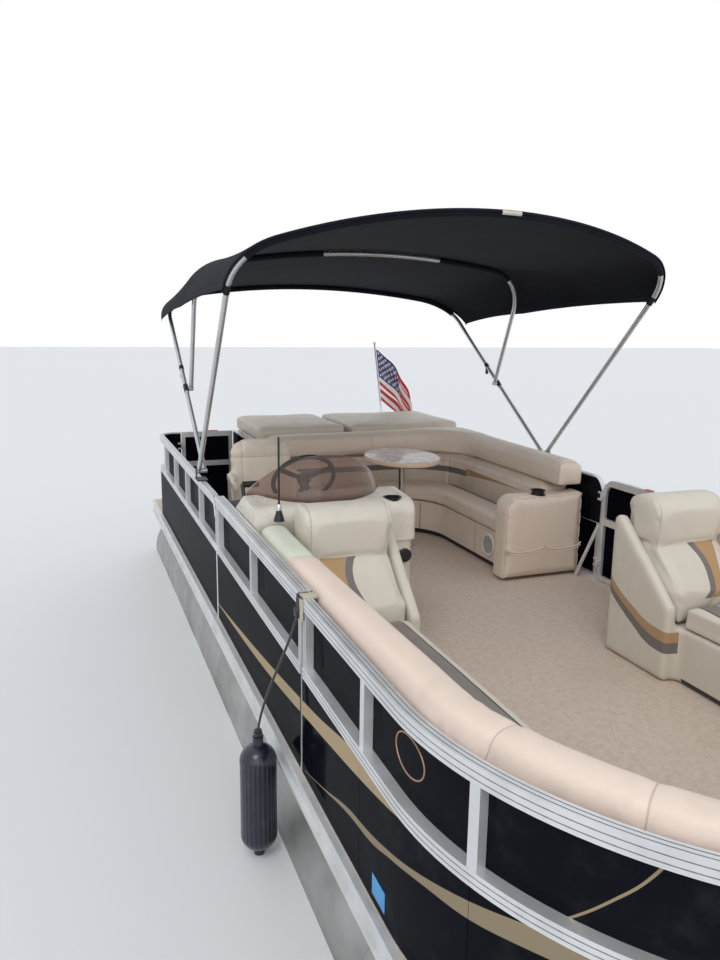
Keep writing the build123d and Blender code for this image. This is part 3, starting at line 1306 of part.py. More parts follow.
def fender():
    """Air-filled cylinder with a round shoulder and a solid neck at both ends."""
    high = FENDER_LENGTH
    low_shoulder = NECK_LENGTH + SHOULDER
    top_shoulder = high - low_shoulder
    knee = FENDER_NECK + (FENDER_RADIUS - FENDER_NECK) * 0.72
    rise = NECK_LENGTH + SHOULDER * 0.3
    outline = [
        Line((0, 0), (FENDER_NECK, 0)),
        Line((FENDER_NECK, 0), (FENDER_NECK, NECK_LENGTH)),
        ThreePointArc((FENDER_NECK, NECK_LENGTH), (knee, rise), (FENDER_RADIUS, low_shoulder)),
        Line((FENDER_RADIUS, low_shoulder), (FENDER_RADIUS, top_shoulder)),
        ThreePointArc((FENDER_RADIUS, top_shoulder), (knee, high - rise), (FENDER_NECK, high - NECK_LENGTH)),
        Line((FENDER_NECK, high - NECK_LENGTH), (FENDER_NECK, high)),
        Line((FENDER_NECK, high), (0, high)),
        Line((0, high), (0, 0)),
    ]
    body = revolve(Plane.XZ * make_face(outline), axis=Axis.Z)
    return Pos(FENDER_X, FENDER_Y, DECK_TOP + FENDER_TOP - FENDER_LENGTH) * body


parts["fender"] = fender()
LINE_RADIUS = 5
LINE_OFF = 7
LINE_TIE_X = FENDER_X + 245
LINE_OUTER = -SIDE_Y - LINE_OFF
LINE_INNER = -FENCE_FACE + LINE_OFF + 2
LINE_OVER = DECK_TOP + FENCE_TOP + LINE_OFF
LINE_POINTS = [
    (FENDER_X, FENDER_Y, DECK_TOP + FENDER_TOP),
    (FENDER_X, FENDER_Y, DECK_TOP + FENDER_TOP + 90),
    (LINE_TIE_X, LINE_OUTER, LINE_OVER - 100),
    (LINE_TIE_X, LINE_OUTER, LINE_OVER),
    (LINE_TIE_X, LINE_INNER, LINE_OVER),
    (LINE_TIE_X, LINE_INNER, LINE_OVER - 75),
]


def line_bends(points):
    """Radius of each bend in the line: as wide as its shorter run lets it be."""
    bends = []
    for before, here, after in zip(points, points[1:], points[2:]):
        first = Vector(*here) - Vector(*before)
        second = Vector(*after) - Vector(*here)
        half_turn = math.radians(first.get_angle(second) / 2)
        bends.append(0.45 * min(first.length, second.length) / math.tan(half_turn))
    return bends


bends = line_bends(LINE_POINTS)
print("fender line bends", [round(bend, 1) for bend in bends])
parts["fender_line"] = tube(Wire(FilletPolyline(*LINE_POINTS, radius=bends).edges()), LINE_RADIUS)

STERN_CLEAT_Y = DECK_WIDTH / 2 - 90
BOW_CLEAT_Y = DECK_WIDTH / 2 - 370
CLEATS = [(140, STERN_CLEAT_Y), (140, -STERN_CLEAT_Y), (6900, BOW_CLEAT_Y), (6900, -BOW_CLEAT_Y)]


def cleat(x, y):
    at = Pos(x, y, DECK_TOP)
    body = at * Pos(-22, 0, 0) * Cylinder(9, 30, align=STANDING)
    body += at * Pos(22, 0, 0) * Cylinder(9, 30, align=STANDING)
    body += rod((x - 75, y, DECK_TOP + 32), (x + 75, y, DECK_TOP + 32), 9)
    return body


parts["cleats"] = [cleat(x, y) for x, y in CLEATS]
parts["ladder_upper"] = ladder_upper()
parts["ladder_lower"] = ladder_lower()
parts["ladder_mounts"] = ladder_mounts()

# The box of everything but the fender on its line gives the origin

HUNG = ("fender", "fender_line")


def solids_of(piece):
    items = piece if isinstance(piece, list) else [piece]
    return [solid for item in items for solid in item.solids()]


standing = [piece for name, piece in parts.items() if name not in HUNG]
boxes = [solid.bounding_box() for piece in standing for solid in solids_of(piece)]
SHIFT_X = -(min(box.min.X for box in boxes) + max(box.max.X for box in boxes)) / 2
SHIFT_Y = -(min(box.min.Y for box in boxes) + max(box.max.Y for box in boxes)) / 2

for name, piece in parts.items():
    solids = [Pos(SHIFT_X, SHIFT_Y, 0) * solid for solid in solids_of(piece)]
    shape = solids[0] if len(solids) == 1 else Compound(children=solids)
    export_step(shape, "parts/" + name + ".step")
    print(name, len(shape.solids()), round(shape.volume / 1e6, 2), shape.is_valid)
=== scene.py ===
import json
import math

import bmesh
import bpy
from mathutils import Matrix, Vector


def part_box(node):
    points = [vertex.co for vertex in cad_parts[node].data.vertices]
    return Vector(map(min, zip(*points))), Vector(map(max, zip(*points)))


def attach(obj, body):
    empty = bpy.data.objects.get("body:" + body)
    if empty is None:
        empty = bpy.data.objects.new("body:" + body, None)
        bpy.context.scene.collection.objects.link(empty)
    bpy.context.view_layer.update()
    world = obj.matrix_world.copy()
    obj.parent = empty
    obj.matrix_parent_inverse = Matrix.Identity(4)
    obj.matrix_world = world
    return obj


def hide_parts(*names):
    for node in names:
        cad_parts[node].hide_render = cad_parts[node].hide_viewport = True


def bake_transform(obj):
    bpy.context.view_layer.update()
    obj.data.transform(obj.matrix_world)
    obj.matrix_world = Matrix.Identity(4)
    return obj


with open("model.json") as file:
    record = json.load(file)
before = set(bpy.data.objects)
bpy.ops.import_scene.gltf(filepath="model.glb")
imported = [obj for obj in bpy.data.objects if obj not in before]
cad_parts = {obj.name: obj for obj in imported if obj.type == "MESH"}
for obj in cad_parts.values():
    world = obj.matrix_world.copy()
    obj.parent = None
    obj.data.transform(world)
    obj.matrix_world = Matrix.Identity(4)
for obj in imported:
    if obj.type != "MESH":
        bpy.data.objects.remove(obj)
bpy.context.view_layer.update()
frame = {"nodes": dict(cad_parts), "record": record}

# Metres, in the frame of the CAD. at() takes a place on the boat: x from the deck's stern edge towards the
# bow, y to port, z over the carpet.
NODES = frame["nodes"]
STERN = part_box("deck_board")[0].x
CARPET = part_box("deck_carpet")[1].z
WATER = 0.300
BEND_X, BEND_Y = 5.700, 0.145  # middle of the bow's bends, along the boat and off its centre line


def at(x, y, z):
    return Vector((STERN + x, y, CARPET + z))


# Camera

def look(place, yaw, pitch, roll):
    """Matrix of a camera that looks from the bow to the stern, turned to port by yaw and down by pitch."""
    yaw, pitch, roll = (math.radians(a) for a in (yaw, pitch, roll))
    ahead = Vector((-math.cos(yaw), math.sin(yaw), 0))
    side = Vector((math.sin(yaw), math.cos(yaw), 0))
    top = Vector((0, 0, 1))
    view = math.cos(pitch) * ahead - math.sin(pitch) * top
    up = math.sin(pitch) * ahead + math.cos(pitch) * top
    right = math.cos(roll) * side + math.sin(roll) * up
    up = -math.sin(roll) * side + math.cos(roll) * up
    turn = Matrix((right, up, -view)).transposed().to_4x4()
    return Matrix.Translation(place) @ turn


lens = bpy.data.cameras.new("camera")
lens.sensor_width = 36
lens.lens = 29.45
camera = bpy.data.objects.new("camera", lens)
bpy.context.collection.objects.link(camera)
camera.matrix_world = look(at(7.453, -2.038, 1.673), 20.87, 11.39, 0.79)
bpy.context.scene.camera = camera


# Materials

def rgb(*shades):
    """A colour that is written as it looks on a screen, 0 to 255."""
    return tuple(c / 255 / 12.92 if c < 10.3 else ((c / 255 + 0.055) / 1.055) ** 2.4 for c in shades) + (1.0,)


class Finish:
    """A material: a Principled shader, and small helpers for the nodes that feed it."""

    def __init__(self, name, colour, rough, metal=0.0, **sockets):
        self.material = bpy.data.materials.new(name)
        self.material.use_nodes = True
        self.tree = self.material.node_tree
        self.shader = self.tree.nodes["Principled BSDF"]
        self.shader.inputs["Metallic"].default_value = metal
        self.shader.inputs["Roughness"].default_value = rough
        for socket, value in sockets.items():
            self.shader.inputs[socket.replace("_", " ")].default_value = value
        self.colour = colour
        self.place = self.add("ShaderNodeTexCoord").outputs["Object"]
        self.axes = self.add("ShaderNodeSeparateXYZ", Vector=self.place).outputs
        self.height = None

    def add(self, kind, **values):
        node = self.tree.nodes.new(kind)
        for key, value in values.items():
            if hasattr(node, key):
                setattr(node, key, value)
                continue
            socket = node.inputs[int(key[1:]) if key[0] == "i" and key[1:].isdigit() else key.replace("_", " ")]
            self.feed(socket, value)
        return node

    def feed(self, socket, value):
        if isinstance(value, bpy.types.NodeSocket):
            self.tree.links.new(value, socket)
        else:
            socket.default_value = value

    def calc(self, operation, a, b=0.0, clamp=False):
        return self.add("ShaderNodeMath", operation=operation, use_clamp=clamp, i0=a, i1=b).outputs[0]

    def times(self, a, b):
        return self.calc("MULTIPLY", a, b)

    def less(self, a, b):
        return self.calc("SUBTRACT", a, b)

    def noise(self, scale, detail=3.0, rough=0.55, stretch=(1, 1, 1)):
        place = self.add("ShaderNodeMapping", Vector=self.place, Scale=stretch).outputs[0]
        return self.add("ShaderNodeTexNoise", Vector=place, Scale=scale, Detail=detail,
                        Roughness=rough).outputs[0]

    def cells(self, scale):
        return self.add("ShaderNodeTexVoronoi", Vector=self.place, Scale=scale).outputs["Distance"]

    def waves(self, scale, direction):
        return self.add("ShaderNodeTexWave", Vector=self.place, Scale=scale, bands_direction=direction).outputs[1]

    def spread(self, value, low, high, start=0.0, end=1.0):
        """Value brought from low...high to start...end, smoothly and clamped."""
        return self.add("ShaderNodeMapRange", interpolation_type="SMOOTHSTEP", i0=value, i1=low, i2=high,
                        i3=start, i4=end).outputs[0]

    def spread_linear(self, value, low, high, start, end):
        return self.add("ShaderNodeMapRange", clamp=False, i0=value, i1=low, i2=high, i3=start,
                        i4=end).outputs[0]

    def mix(self, share, a, b, blend="MIX"):
        node = self.add("ShaderNodeMix", data_type="RGBA", blend_type=blend)
        for socket, value in zip((node.inputs[0], node.inputs[6], node.inputs[7]), (share, a, b)):
            self.feed(socket, value)
        return node.outputs[2]

    def tint(self, share, colour, blend="MIX"):
        self.colour = self.mix(share, self.colour, colour, blend)
        return self

    def vary(self, scale, darker, stretch=(1, 1, 1)):
        """Slow change of shade over the surface."""
        return self.tint(self.spread(self.noise(scale, stretch=stretch), 0.35, 0.65), darker)

    def patches(self, scale, detail, rough, low, high, share, colour):
        """Patches of another colour where the noise is high."""
        return self.tint(self.times(self.spread(self.noise(scale, detail, rough), low, high), share), colour)

    def bump(self, value, depth):
        """Relief of that depth in metres."""
        scaled = self.times(value, depth)
        self.height = scaled if self.height is None else self.calc("ADD", self.height, scaled)
        return self

    def wander(self, scale, smooth, rough, top=0.7):
        """Roughness that wanders between two values over the surface."""
        self.feed(self.shader.inputs["Roughness"], self.spread(self.noise(scale), 0.3, top, smooth, rough))

    def cloth_map(self):
        """Axes of the cloth's own map."""
        return self.add("ShaderNodeSeparateXYZ", Vector=self.add("ShaderNodeTexCoord").outputs["UV"]).outputs

    def along(self, direction):
        return self.add("ShaderNodeVectorMath", operation="DOT_PRODUCT", i0=self.place,
                        i1=direction).outputs["Value"]

    def between(self, value, low, high, soft=0.0008):
        """1 where the value lies between two numbers or two other values."""
        over = self.spread(self.less(value, low), -soft, soft)
        under = self.spread(self.less(high, value), -soft, soft)
        return self.times(over, under)

    def all_of(self, *masks):
        share = masks[0]
        for mask in masks[1:]:
            share = self.times(share, mask)
        return share

    def curve(self, value, points):
        """Smooth curve through points, each (value, result)."""
        start, end = points[0][0], points[-1][0]
        low = min(y for x, y in points) - 0.01
        high = max(y for x, y in points) + 0.01
        node = self.add("ShaderNodeFloatCurve", Value=self.spread_linear(value, start, end, 0, 1))
        line = node.mapping.curves[0]
        places = [((x - start) / (end - start), (y - low) / (high - low)) for x, y in points]
        line.points[0].location = places[0]
        line.points[-1].location = places[-1]
        for place in places[1:-1]:
            line.points.new(*place)
        node.mapping.update()
        return self.spread_linear(node.outputs[0], 0, 1, low, high)

    def done(self):
        self.feed(self.shader.inputs["Base Color"], self.colour)
        if self.height is not None:
            relief = self.add("ShaderNodeBump", Distance=1.0, Strength=1.0, Height=self.height)
            self.tree.links.new(relief.outputs[0], self.shader.inputs["Normal"])
        return self.material


def shaded(shade, share):
    return tuple(c * share for c in shade[:3]) + (1,)


def aluminium(name, shade, rough, stretch=(0.06, 1, 1), metal=0.8):
    f = Finish(name, shade, rough, metal)
    f.vary(6, shaded(shade, 0.88))
    f.bump(f.noise(420, 2.0, stretch=stretch), 0.00006)
    f.wander(9, rough - 0.05, rough + 0.1)
    return f.done()


def seam(f, gap):
    """Sewn line where the gap is nought: a valley, darkened with painted shade."""
    share = f.spread(gap, 0.0008, 0.0032, 1.0, 0.0)
    f.tint(f.times(share, 0.3), rgb(104, 92, 80))
    f.bump(share, -0.0012)


def vinyl(name, shade, seams=(), bands=(), dirt=0.1):
    """Marine vinyl with a fine leather grain.

    A seam is (direction, distance, limits...), and a band is (mask, colour).
    """
    f = Finish(name, shade, 0.42, Sheen_Weight=0.05, Specular_IOR_Level=0.4)
    f.vary(3.2, shaded(shade, 0.94))
    f.vary(16, shaded(shade, 0.97))
    for mask, colour in bands:
        share = mask(f)
        f.tint(share, colour)
        f.bump(share, 0.0022)
    f.patches(7, 5, 0.55, 0.55, 0.75, dirt, rgb(150, 138, 122))
    for direction, distance, *limits in seams:
        gap = f.calc("ABSOLUTE", f.less(f.along(direction), distance))
        for axis, low, high in limits:
            outside = f.spread(f.between(f.axes[axis], low, high), 0, 1, 1, 0)
            gap = f.calc("ADD", gap, outside)
        seam(f, gap)
    f.bump(f.cells(620), 0.00012)
    f.bump(f.noise(60), 0.0004)
    f.wander(11, 0.36, 0.5)
    return f.done()


def plastic(name, shade, rough, grain=0.00008, metal=0.0, **sockets):
    f = Finish(name, shade, rough, metal, **sockets)
    f.vary(8, shaded(shade, 0.86))
    f.bump(f.noise(520, 2.0), grain)
    f.wander(13, max(0.02, rough - 0.05), rough + 0.08)
    return f.done()


CREAM = rgb(208, 201, 188)
PEACH = rgb(232, 212, 198)
GREENISH = rgb(206, 210, 193)
LOUNGE = rgb(222, 205, 189)
GOLD = rgb(172, 140, 100)
GREY = rgb(112, 107, 104)
NAVY = rgb(12, 13, 21)
BRIGHT = rgb(228, 229, 231)
SHADOW = rgb(44, 40, 38)
X, Y, Z = 0, 1, 2

FINISH_OF = {  # by slot
    "rail_metal": aluminium("rail_metal", BRIGHT, 0.36, metal=0.55),
    "frame_metal": aluminium("frame_metal", rgb(170, 172, 174), 0.45, (1, 0.1, 1)),
    "rub_rail": aluminium("fascia", rgb(222, 223, 224), 0.42, metal=0.45),
    "steel": aluminium("steel", rgb(222, 222, 224), 0.16, metal=1.0),
    "black_plastic": plastic("black_plastic", rgb(24, 24, 26), 0.45),
    "cream_plastic": plastic("cream_plastic", rgb(216, 209, 196), 0.3, Coat_Weight=0.3),
    "motor_paint": plastic("motor_paint", rgb(26, 27, 31), 0.2, Coat_Weight=0.6),
    "motor_metal": plastic("motor_metal", rgb(40, 42, 46), 0.32, Coat_Weight=0.3),
    "cream_vinyl": vinyl("cream_vinyl", CREAM), "peach_vinyl": vinyl("peach_vinyl", PEACH),
}
# Darker metal for the painted shade in the valleys of the rails and posts
groove_shade = plastic("groove_shade", rgb(120, 122, 126), 0.5, metal=0.4)
strap_web = plastic("strap_web", rgb(20, 20, 23), 0.8, 0.0004)


def span(low, high):
    """Limits along the boat."""
    return (X, STERN + low, STERN + high)


def high(low, top=1.2):
    """Limits over the carpet."""
    return (Z, CARPET + low, CARPET + top)


def box_mask(*limits):
    """Band mask of a box: (axis, low, high) in the CAD's frame."""
    return lambda f: f.all_of(*[f.between(f.axes[axis], low, high) for axis, low, high in limits])


def curve_mask(axis, low, high, against, *limits):
    """Band mask between two curves, each of (place against another axis, place)."""
    def mask(f):
        inside = f.between(f.axes[axis], f.curve(f.axes[against], low), f.curve(f.axes[against], high))
        return f.all_of(inside, *[f.between(f.axes[a], start, end) for a, start, end in limits])
    return mask


def on_boat(points, shift=0.0):
    """Curve points (x over the boat, z over the carpet) in the CAD's frame."""
    return [(STERN + x + shift, CARPET + z) for x, z in points]


def pontoon_finish():
    f = Finish("pontoon_metal", rgb(182, 184, 184), 0.5, 0.75)
    f.vary(2.4, rgb(150, 151, 149))
    f.vary(11, rgb(166, 166, 163), stretch=(0.2, 1, 1))
    scum = f.spread(f.axes[Z], 0.24, 0.40, 1.0, 0.0)
    f.tint(f.times(scum, f.spread(f.noise(5), 0.3, 0.8, 0.25, 0.8)), rgb(112, 108, 92))
    f.bump(f.noise(300, 2.0, stretch=(0.05, 1, 1)), 0.0001)
    f.bump(f.noise(3.1), 0.003)
    weld = f.calc("PINGPONG", f.axes[X], 1.22)
    f.bump(f.spread(weld, 0.0, 0.008, 1.0, 0.0), 0.002)
    f.wander(7, 0.42, 0.62)
    return f.done()


# Stripes of the panels: their lower and upper edges, each (place along the boat, height over the carpet)
SWOOSH = (
    [(3.20, 0.086), (3.8, 0.126), (4.39, 0.179), (5.0, 0.262), (5.62, 0.36), (5.90, 0.425)],
    [(3.20, 0.090), (3.8, 0.156), (4.39, 0.229), (5.0, 0.318), (5.62, 0.42), (5.90, 0.429)])
BOW_STRIPE = (
    [(4.90, 0.028), (5.14, 0.092), (5.38, 0.155), (5.567, 0.187), (5.73, 0.239), (5.90, 0.281), (6.04, 0.299),
     (6.24, 0.335), (6.62, 0.375)],
    [(4.90, 0.030), (5.14, 0.098), (5.38, 0.175), (5.567, 0.213), (5.73, 0.259), (5.90, 0.308), (6.04, 0.346),
     (6.264, 0.404), (6.62, 0.47)])
BOW_HAIRLINE = ([(6.20, 0.38), (6.266, 0.442), (6.324, 0.512), (6.372, 0.58), (6.41, 0.66)],
                [(6.20, 0.386), (6.266, 0.450), (6.324, 0.521), (6.372, 0.591), (6.41, 0.68)])


STRIPES = (  # edges, radius of the face they lie on round the bow's bend, colour
    (SWOOSH, 1.1235, rgb(168, 150, 120)), (BOW_STRIPE, 1.1235, rgb(140, 128, 106)),
    (BOW_HAIRLINE, 1.0885, rgb(150, 134, 106)))


def panel_finish():
    """Black gloss panels; their swept stripes lie on the outer faces only."""
    f = Finish("panel_black", NAVY, 0.3, Specular_IOR_Level=0.0, Coat_Weight=0.16, Coat_Roughness=0.06)
    f.vary(2.0, rgb(9, 10, 16))
    ahead = f.calc("MAXIMUM", f.less(f.axes[X], STERN + BEND_X), 0.0)
    aside = f.less(f.calc("ABSOLUTE", f.axes[Y]), BEND_Y)
    out = f.calc("SQRT", f.calc("ADD", f.calc("POWER", ahead, 2.0), f.calc("POWER", aside, 2.0)))
    for (low, high), face, colour in STRIPES:
        reach = span(low[0][0], low[-1][0])
        share = curve_mask(Z, on_boat(low), on_boat(high), X, reach)(f)
        f.tint(f.times(share, f.spread(out, face - 0.0004, face + 0.0004)), colour)
    f.patches(9, 6, 0.55, 0.5, 0.8, 0.05, rgb(120, 120, 122))
    f.bump(f.noise(5), 0.0008)
    f.wander(12, 0.25, 0.35, top=0.75)
    return f.done()


def carpet_finish():
    f = Finish("carpet", rgb(204, 187, 173), 0.95, Sheen_Weight=0.1)
    f.patches(30, 6, 0.7, 0.42, 0.62, 0.6, rgb(184, 166, 152))
    f.patches(130, 4, 0.75, 0.5, 0.62, 0.4, rgb(160, 142, 128))
    f.patches(1.4, 4, 0.55, 0.5, 0.75, 0.25, rgb(178, 160, 146))
    f.bump(f.cells(330), 0.0010)
    f.bump(f.noise(40), 0.0008)
    return f.done()


def wood_finish():
    f = Finish("deck_wood", rgb(136, 104, 72), 0.75)
    ply = f.add("ShaderNodeTexWave", bands_direction="Z", Vector=f.place, Scale=90.0, Distortion=1.5)
    f.tint(ply.outputs[1], rgb(84, 62, 44))
    f.vary(12, rgb(108, 84, 60), stretch=(0.15, 1, 1))
    f.bump(f.noise(160, stretch=(0.1, 1, 1)), 0.0005)
    return f.done()


def canvas_finish():
    """Woven top. The cloth's own map, in metres from a hem, places the stitch rows."""
    f = Finish("canvas", rgb(27, 29, 39), 0.85, Specular_IOR_Level=0.12, Sheen_Weight=0.03)
    f.vary(2.2, rgb(22, 23, 32))
    f.patches(30, 5, 0.55, 0.5, 0.8, 0.2, rgb(40, 41, 50))
    cloth = f.cloth_map()
    for row in (0.012, 0.034):
        gap = f.calc("ABSOLUTE", f.less(cloth[X], row))
        share = f.spread(gap, 0.0006, 0.0018, 1.0, 0.0)
        f.tint(f.times(share, 0.5), rgb(84, 84, 92))
        f.bump(share, -0.0005)
    f.bump(f.calc("ADD", f.waves(420.0, "X"), f.waves(420.0, "Y")), 0.00015)
    f.bump(f.noise(2.4, 4), 0.006)
    return f.done()


def screen_finish():
    f = Finish("smoked_screen", rgb(192, 172, 162), 0.03, Transmission_Weight=0.94, IOR=1.2, Coat_Weight=0.3)
    f.tint(f.spread(f.axes[Z], CARPET + 0.80, CARPET + 0.84, 1.0, 0.0), rgb(122, 94, 82))
    f.bump(f.noise(2), 0.0006)
    return f.done()


FENDER_X, FENDER_Y = 4.600, -1.376


def fender_finish():
    """Blue-black vinyl with moulded ribs down the barrel."""
    f = Finish("fender_vinyl", rgb(22, 26, 46), 0.3, Coat_Weight=0.4)
    f.vary(9, rgb(15, 18, 33))
    f.patches(22, 5, 0.55, 0.5, 0.8, 0.2, rgb(90, 92, 104))
    turn = f.calc("ARCTAN2", f.less(f.axes[Y], FENDER_Y), f.less(f.axes[X], STERN + FENDER_X))
    rib = f.calc("SINE", f.times(turn, 24.0))
    barrel = f.between(f.axes[Z], CARPET - 0.43, CARPET - 0.05, 0.02)
    f.bump(f.times(rib, barrel), 0.0016)
    return f.done()


def line_finish():
    f = Finish("line_black", rgb(24, 24, 27), 0.8, Sheen_Weight=0.3)
    lay = f.waves(70.0, "DIAGONAL")
    f.tint(lay, rgb(52, 52, 56))
    f.bump(lay, 0.0006)
    return f.done()


def table_finish():
    """Clouded table top with a plain edge."""
    f = Finish("table_plastic", rgb(222, 196, 172), 0.3, Coat_Weight=0.4)
    top = f.spread(f.axes[Z], CARPET + 0.690, CARPET + 0.696)
    cloud = f.spread(f.noise(9, 6, 0.65), 0.42, 0.6)
    f.tint(top, rgb(236, 226, 220))
    f.tint(f.times(top, cloud), rgb(204, 178, 172))
    f.tint(f.all_of(top, f.spread(f.noise(26, 5, 0.7), 0.5, 0.64), 0.7), rgb(150, 136, 142))
    f.bump(f.noise(90), 0.0002)
    return f.done()


def base_finish():
    """Lounge base: door joints, and a dark recess over the deck."""
    f = Finish("lounge_base", LOUNGE, 0.5, Specular_IOR_Level=0.35)
    f.vary(5, shaded(LOUNGE, 0.93))
    for x in (1.89, 2.62):
        line = f.between(f.axes[X], STERN + x - 0.0022, STERN + x + 0.0022, 0.0006)
        f.tint(f.all_of(line, f.between(f.axes[Z], CARPET + 0.05, CARPET + 0.255)), SHADOW)
    f.tint(f.spread(f.axes[Z], CARPET + 0.042, CARPET + 0.046, 1.0, 0.0), SHADOW)
    f.bump(f.cells(420), 0.0002)
    return f.done()


# Sweep on a bow lounge's wing, as (along the boat, over the carpet): the grey's lower edge, the joint, the gold's
# upper edge
WING_BANDS = [
    [(4.27, 0.340), (4.295, 0.320), (4.374, 0.266), (4.483, 0.204), (4.586, 0.155), (4.66, 0.146),
     (4.74, 0.146)],
    [(4.27, 0.378), (4.290, 0.363), (4.369, 0.309), (4.477, 0.254), (4.579, 0.211), (4.66, 0.200),
     (4.74, 0.200)],
    [(4.27, 0.422), (4.292, 0.404), (4.364, 0.352), (4.471, 0.300), (4.573, 0.262), (4.66, 0.252),
     (4.74, 0.252)]]
BACK_STRIPES = [  # z over the carpet, y: the edges of the grey and the gold on the back, from inboard
    [(0.42, 0.800), (0.483, 0.842), (0.54, 0.856), (0.601, 0.835), (0.64, 0.790)],
    [(0.42, 0.834), (0.483, 0.877), (0.544, 0.891), (0.598, 0.875), (0.64, 0.838)],
    [(0.42, 0.890), (0.502, 0.932), (0.565, 0.963), (0.60, 0.980), (0.64, 1.000)]]
LOUNGE_SHIFT = {"port": 0.0, "starboard": -0.300}


def wing_finish(side):
    """Cream base whose wing carries a gold and a grey sweep."""
    bottom, joint, top = [on_boat(points, LOUNGE_SHIFT[side]) for points in WING_BANDS]
    wing = (Y, 0.50, 0.63) if side == "port" else (Y, -0.63, -0.50)
    reach = (X, bottom[0][0] - 0.1, bottom[-1][0])
    kick = box_mask(high(-0.1, 0.03), span(4.75 + LOUNGE_SHIFT[side], 6.2))
    bands = [(curve_mask(Z, bottom, joint, X, wing, reach), GREY),
             (curve_mask(Z, joint, top, X, wing, reach), GOLD), (kick, SHADOW)]
    return vinyl("bow_lounge_base_" + side, CREAM, bands=bands, dirt=0.08)


def back_bands(side):
    sign = 1 if side == "port" else -1
    edges = [[(CARPET + z, sign * y) for z, y in points] for points in BACK_STRIPES]
    if sign > 0:
        pairs = [(edges[0], edges[1], GREY), (edges[1], edges[2], GOLD)]
    else:
        pairs = [(edges[1], edges[0], GREY), (edges[2], edges[1], GOLD)]
    reach = high(0.40, 0.622)
    front = span(4.40 + LOUNGE_SHIFT[side], 4.80 + LOUNGE_SHIFT[side])
    return [(curve_mask(Y, low, high, Z, reach, front), colour) for low, high, colour in pairs]


FINISH_OF |= {
    "panel_black": panel_finish(), "pontoon_metal": pontoon_finish(), "carpet": carpet_finish(),
    "deck_wood": wood_finish(), "canvas": canvas_finish(), "smoked_screen": screen_finish(),
    "fender_vinyl": fender_finish(), "line_black": line_finish(), "table_plastic": table_finish(),
}


GATES = {  # axis across its face, its outer end, axis along its face, and where its infill starts and ends
    "gate_port": (Y, 1, X, STERN + 3.3582, STERN + 4.0898),
    "gate_bow": (X, 1, Y, -0.3118, 0.3118),
    "gate_stern": (X, 0, Y, -1.0348, -0.6482),
}
INFILL_DEPTH = (0.0095, 0.0145)
INFILL_BAYS = ((0.0305, 0.3865), (0.4305, 0.6505))


def gate_finish(name):
    """Aluminium gate whose infill, in the two bays of its frame, is black."""
    across, outer, along, start, end = GATES[name]
    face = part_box(name)[outer][across]
    near, far = sorted(face - off if outer else face + off for off in INFILL_DEPTH)
    f = Finish(name, BRIGHT, 0.36, 0.55)
    f.vary(6, rgb(206, 207, 209))
    bays = f.calc("ADD", *[f.between(f.axes[Z], CARPET + low, CARPET + high) for low, high in INFILL_BAYS])
    infill = f.all_of(bays, f.between(f.axes[across], near, far, 0.0002),
                      f.between(f.axes[along], start, end, 0.0002))
    f.tint(infill, NAVY)
    f.feed(f.shader.inputs["Metallic"], f.spread(infill, 0, 1, 0.55, 0.0))
    f.feed(f.shader.inputs["Specular IOR Level"], f.spread(infill, 0, 1, 0.5, 0.0))
    f.bump(f.noise(420, 2.0), 0.00006)
    return f.done()


bow_metal = aluminium("bow_metal", rgb(208, 209, 211), 0.3, (1, 1, 0.1))
OWN_FINISH = {name: gate_finish(name) for name in GATES}
OWN_FINISH |= {"bimini_bow_" + name: bow_metal for name in ("front", "middle", "rear")}
OWN_FINISH |= {
    "lounge_base": base_finish(), "bow_lounge_base_port": wing_finish("port"),
    "bow_lounge_base_starboard": wing_finish("starboard"),
}


def dress_nodes():
    """Each CAD node gets the finish of its slot in the record."""
    for item in frame["record"]["subparts"]:
        name = item["node"]
        data = NODES[name].data
        data.materials.clear()
        by_slot = FINISH_OF.get(item["material_slot"], FINISH_OF["cream_vinyl"])
        data.materials.append(OWN_FINISH.get(name, by_slot))


dress_nodes()


def rounded(piece, voxel, rounds):
    """Modifiers that give a piece an even mesh and round its edges."""
    remesh = piece.modifiers.new("remesh", "REMESH")
    remesh.mode = "VOXEL"
    remesh.voxel_size = voxel
    remesh.use_smooth_shade = True
    soften = piece.modifiers.new("soften", "SMOOTH")
    soften.factor = 0.5
    soften.iterations = rounds


for side in ("port", "starboard"):
    rounded(NODES["bow_lounge_base_" + side], 0.014, 10)


# Building helpers

def new_piece(name, mesh, body, finish):
    """Puts a mesh, made in place, on a body."""
    piece = bpy.data.objects.new(name, mesh)
    bpy.context.collection.objects.link(piece)
    if finish is not None:
        mesh.materials.clear()
        mesh.materials.append(finish)
    if body:
        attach(piece, body)
    return piece


def smooth_shade(mesh, angle=40):
    mesh.shade_smooth()
    mesh.set_sharp_from_angle(angle=math.radians(angle))


def shape_piece(name, shape, slot, finish=None, body="boat"):
    """Ends a bmesh as a piece, by itself with its slot's finish."""
    bmesh.ops.recalc_face_normals(shape, faces=shape.faces)
    mesh = bpy.data.meshes.new(name)
    shape.to_mesh(mesh)
    smooth_shade(mesh)
    return new_piece(name, mesh, body, finish or FINISH_OF[slot])


def grid_mesh(name, rows):
    """Surface through rows of points."""
    count = len(rows[0])
    points = [p for row in rows for p in row]
    faces = [(i * count + j, i * count + j + 1, (i + 1) * count + j + 1, (i + 1) * count + j)
             for i in range(len(rows) - 1) for j in range(count - 1)]
    mesh = bpy.data.meshes.new(name)
    mesh.from_pydata(points, [], faces)
    return mesh


def applied(piece):
    """The piece's mesh with its modifiers worked in."""
    bpy.context.view_layer.update()
    shape = bpy.data.meshes.new_from_object(piece.evaluated_get(bpy.context.evaluated_depsgraph_get()))
    piece.modifiers.clear()
    piece.data = shape
    return piece


def thicken(piece, thickness, offset):
    thick = piece.modifiers.new("thick", "SOLIDIFY")
    thick.thickness = thickness
    thick.offset = offset
    applied(piece)


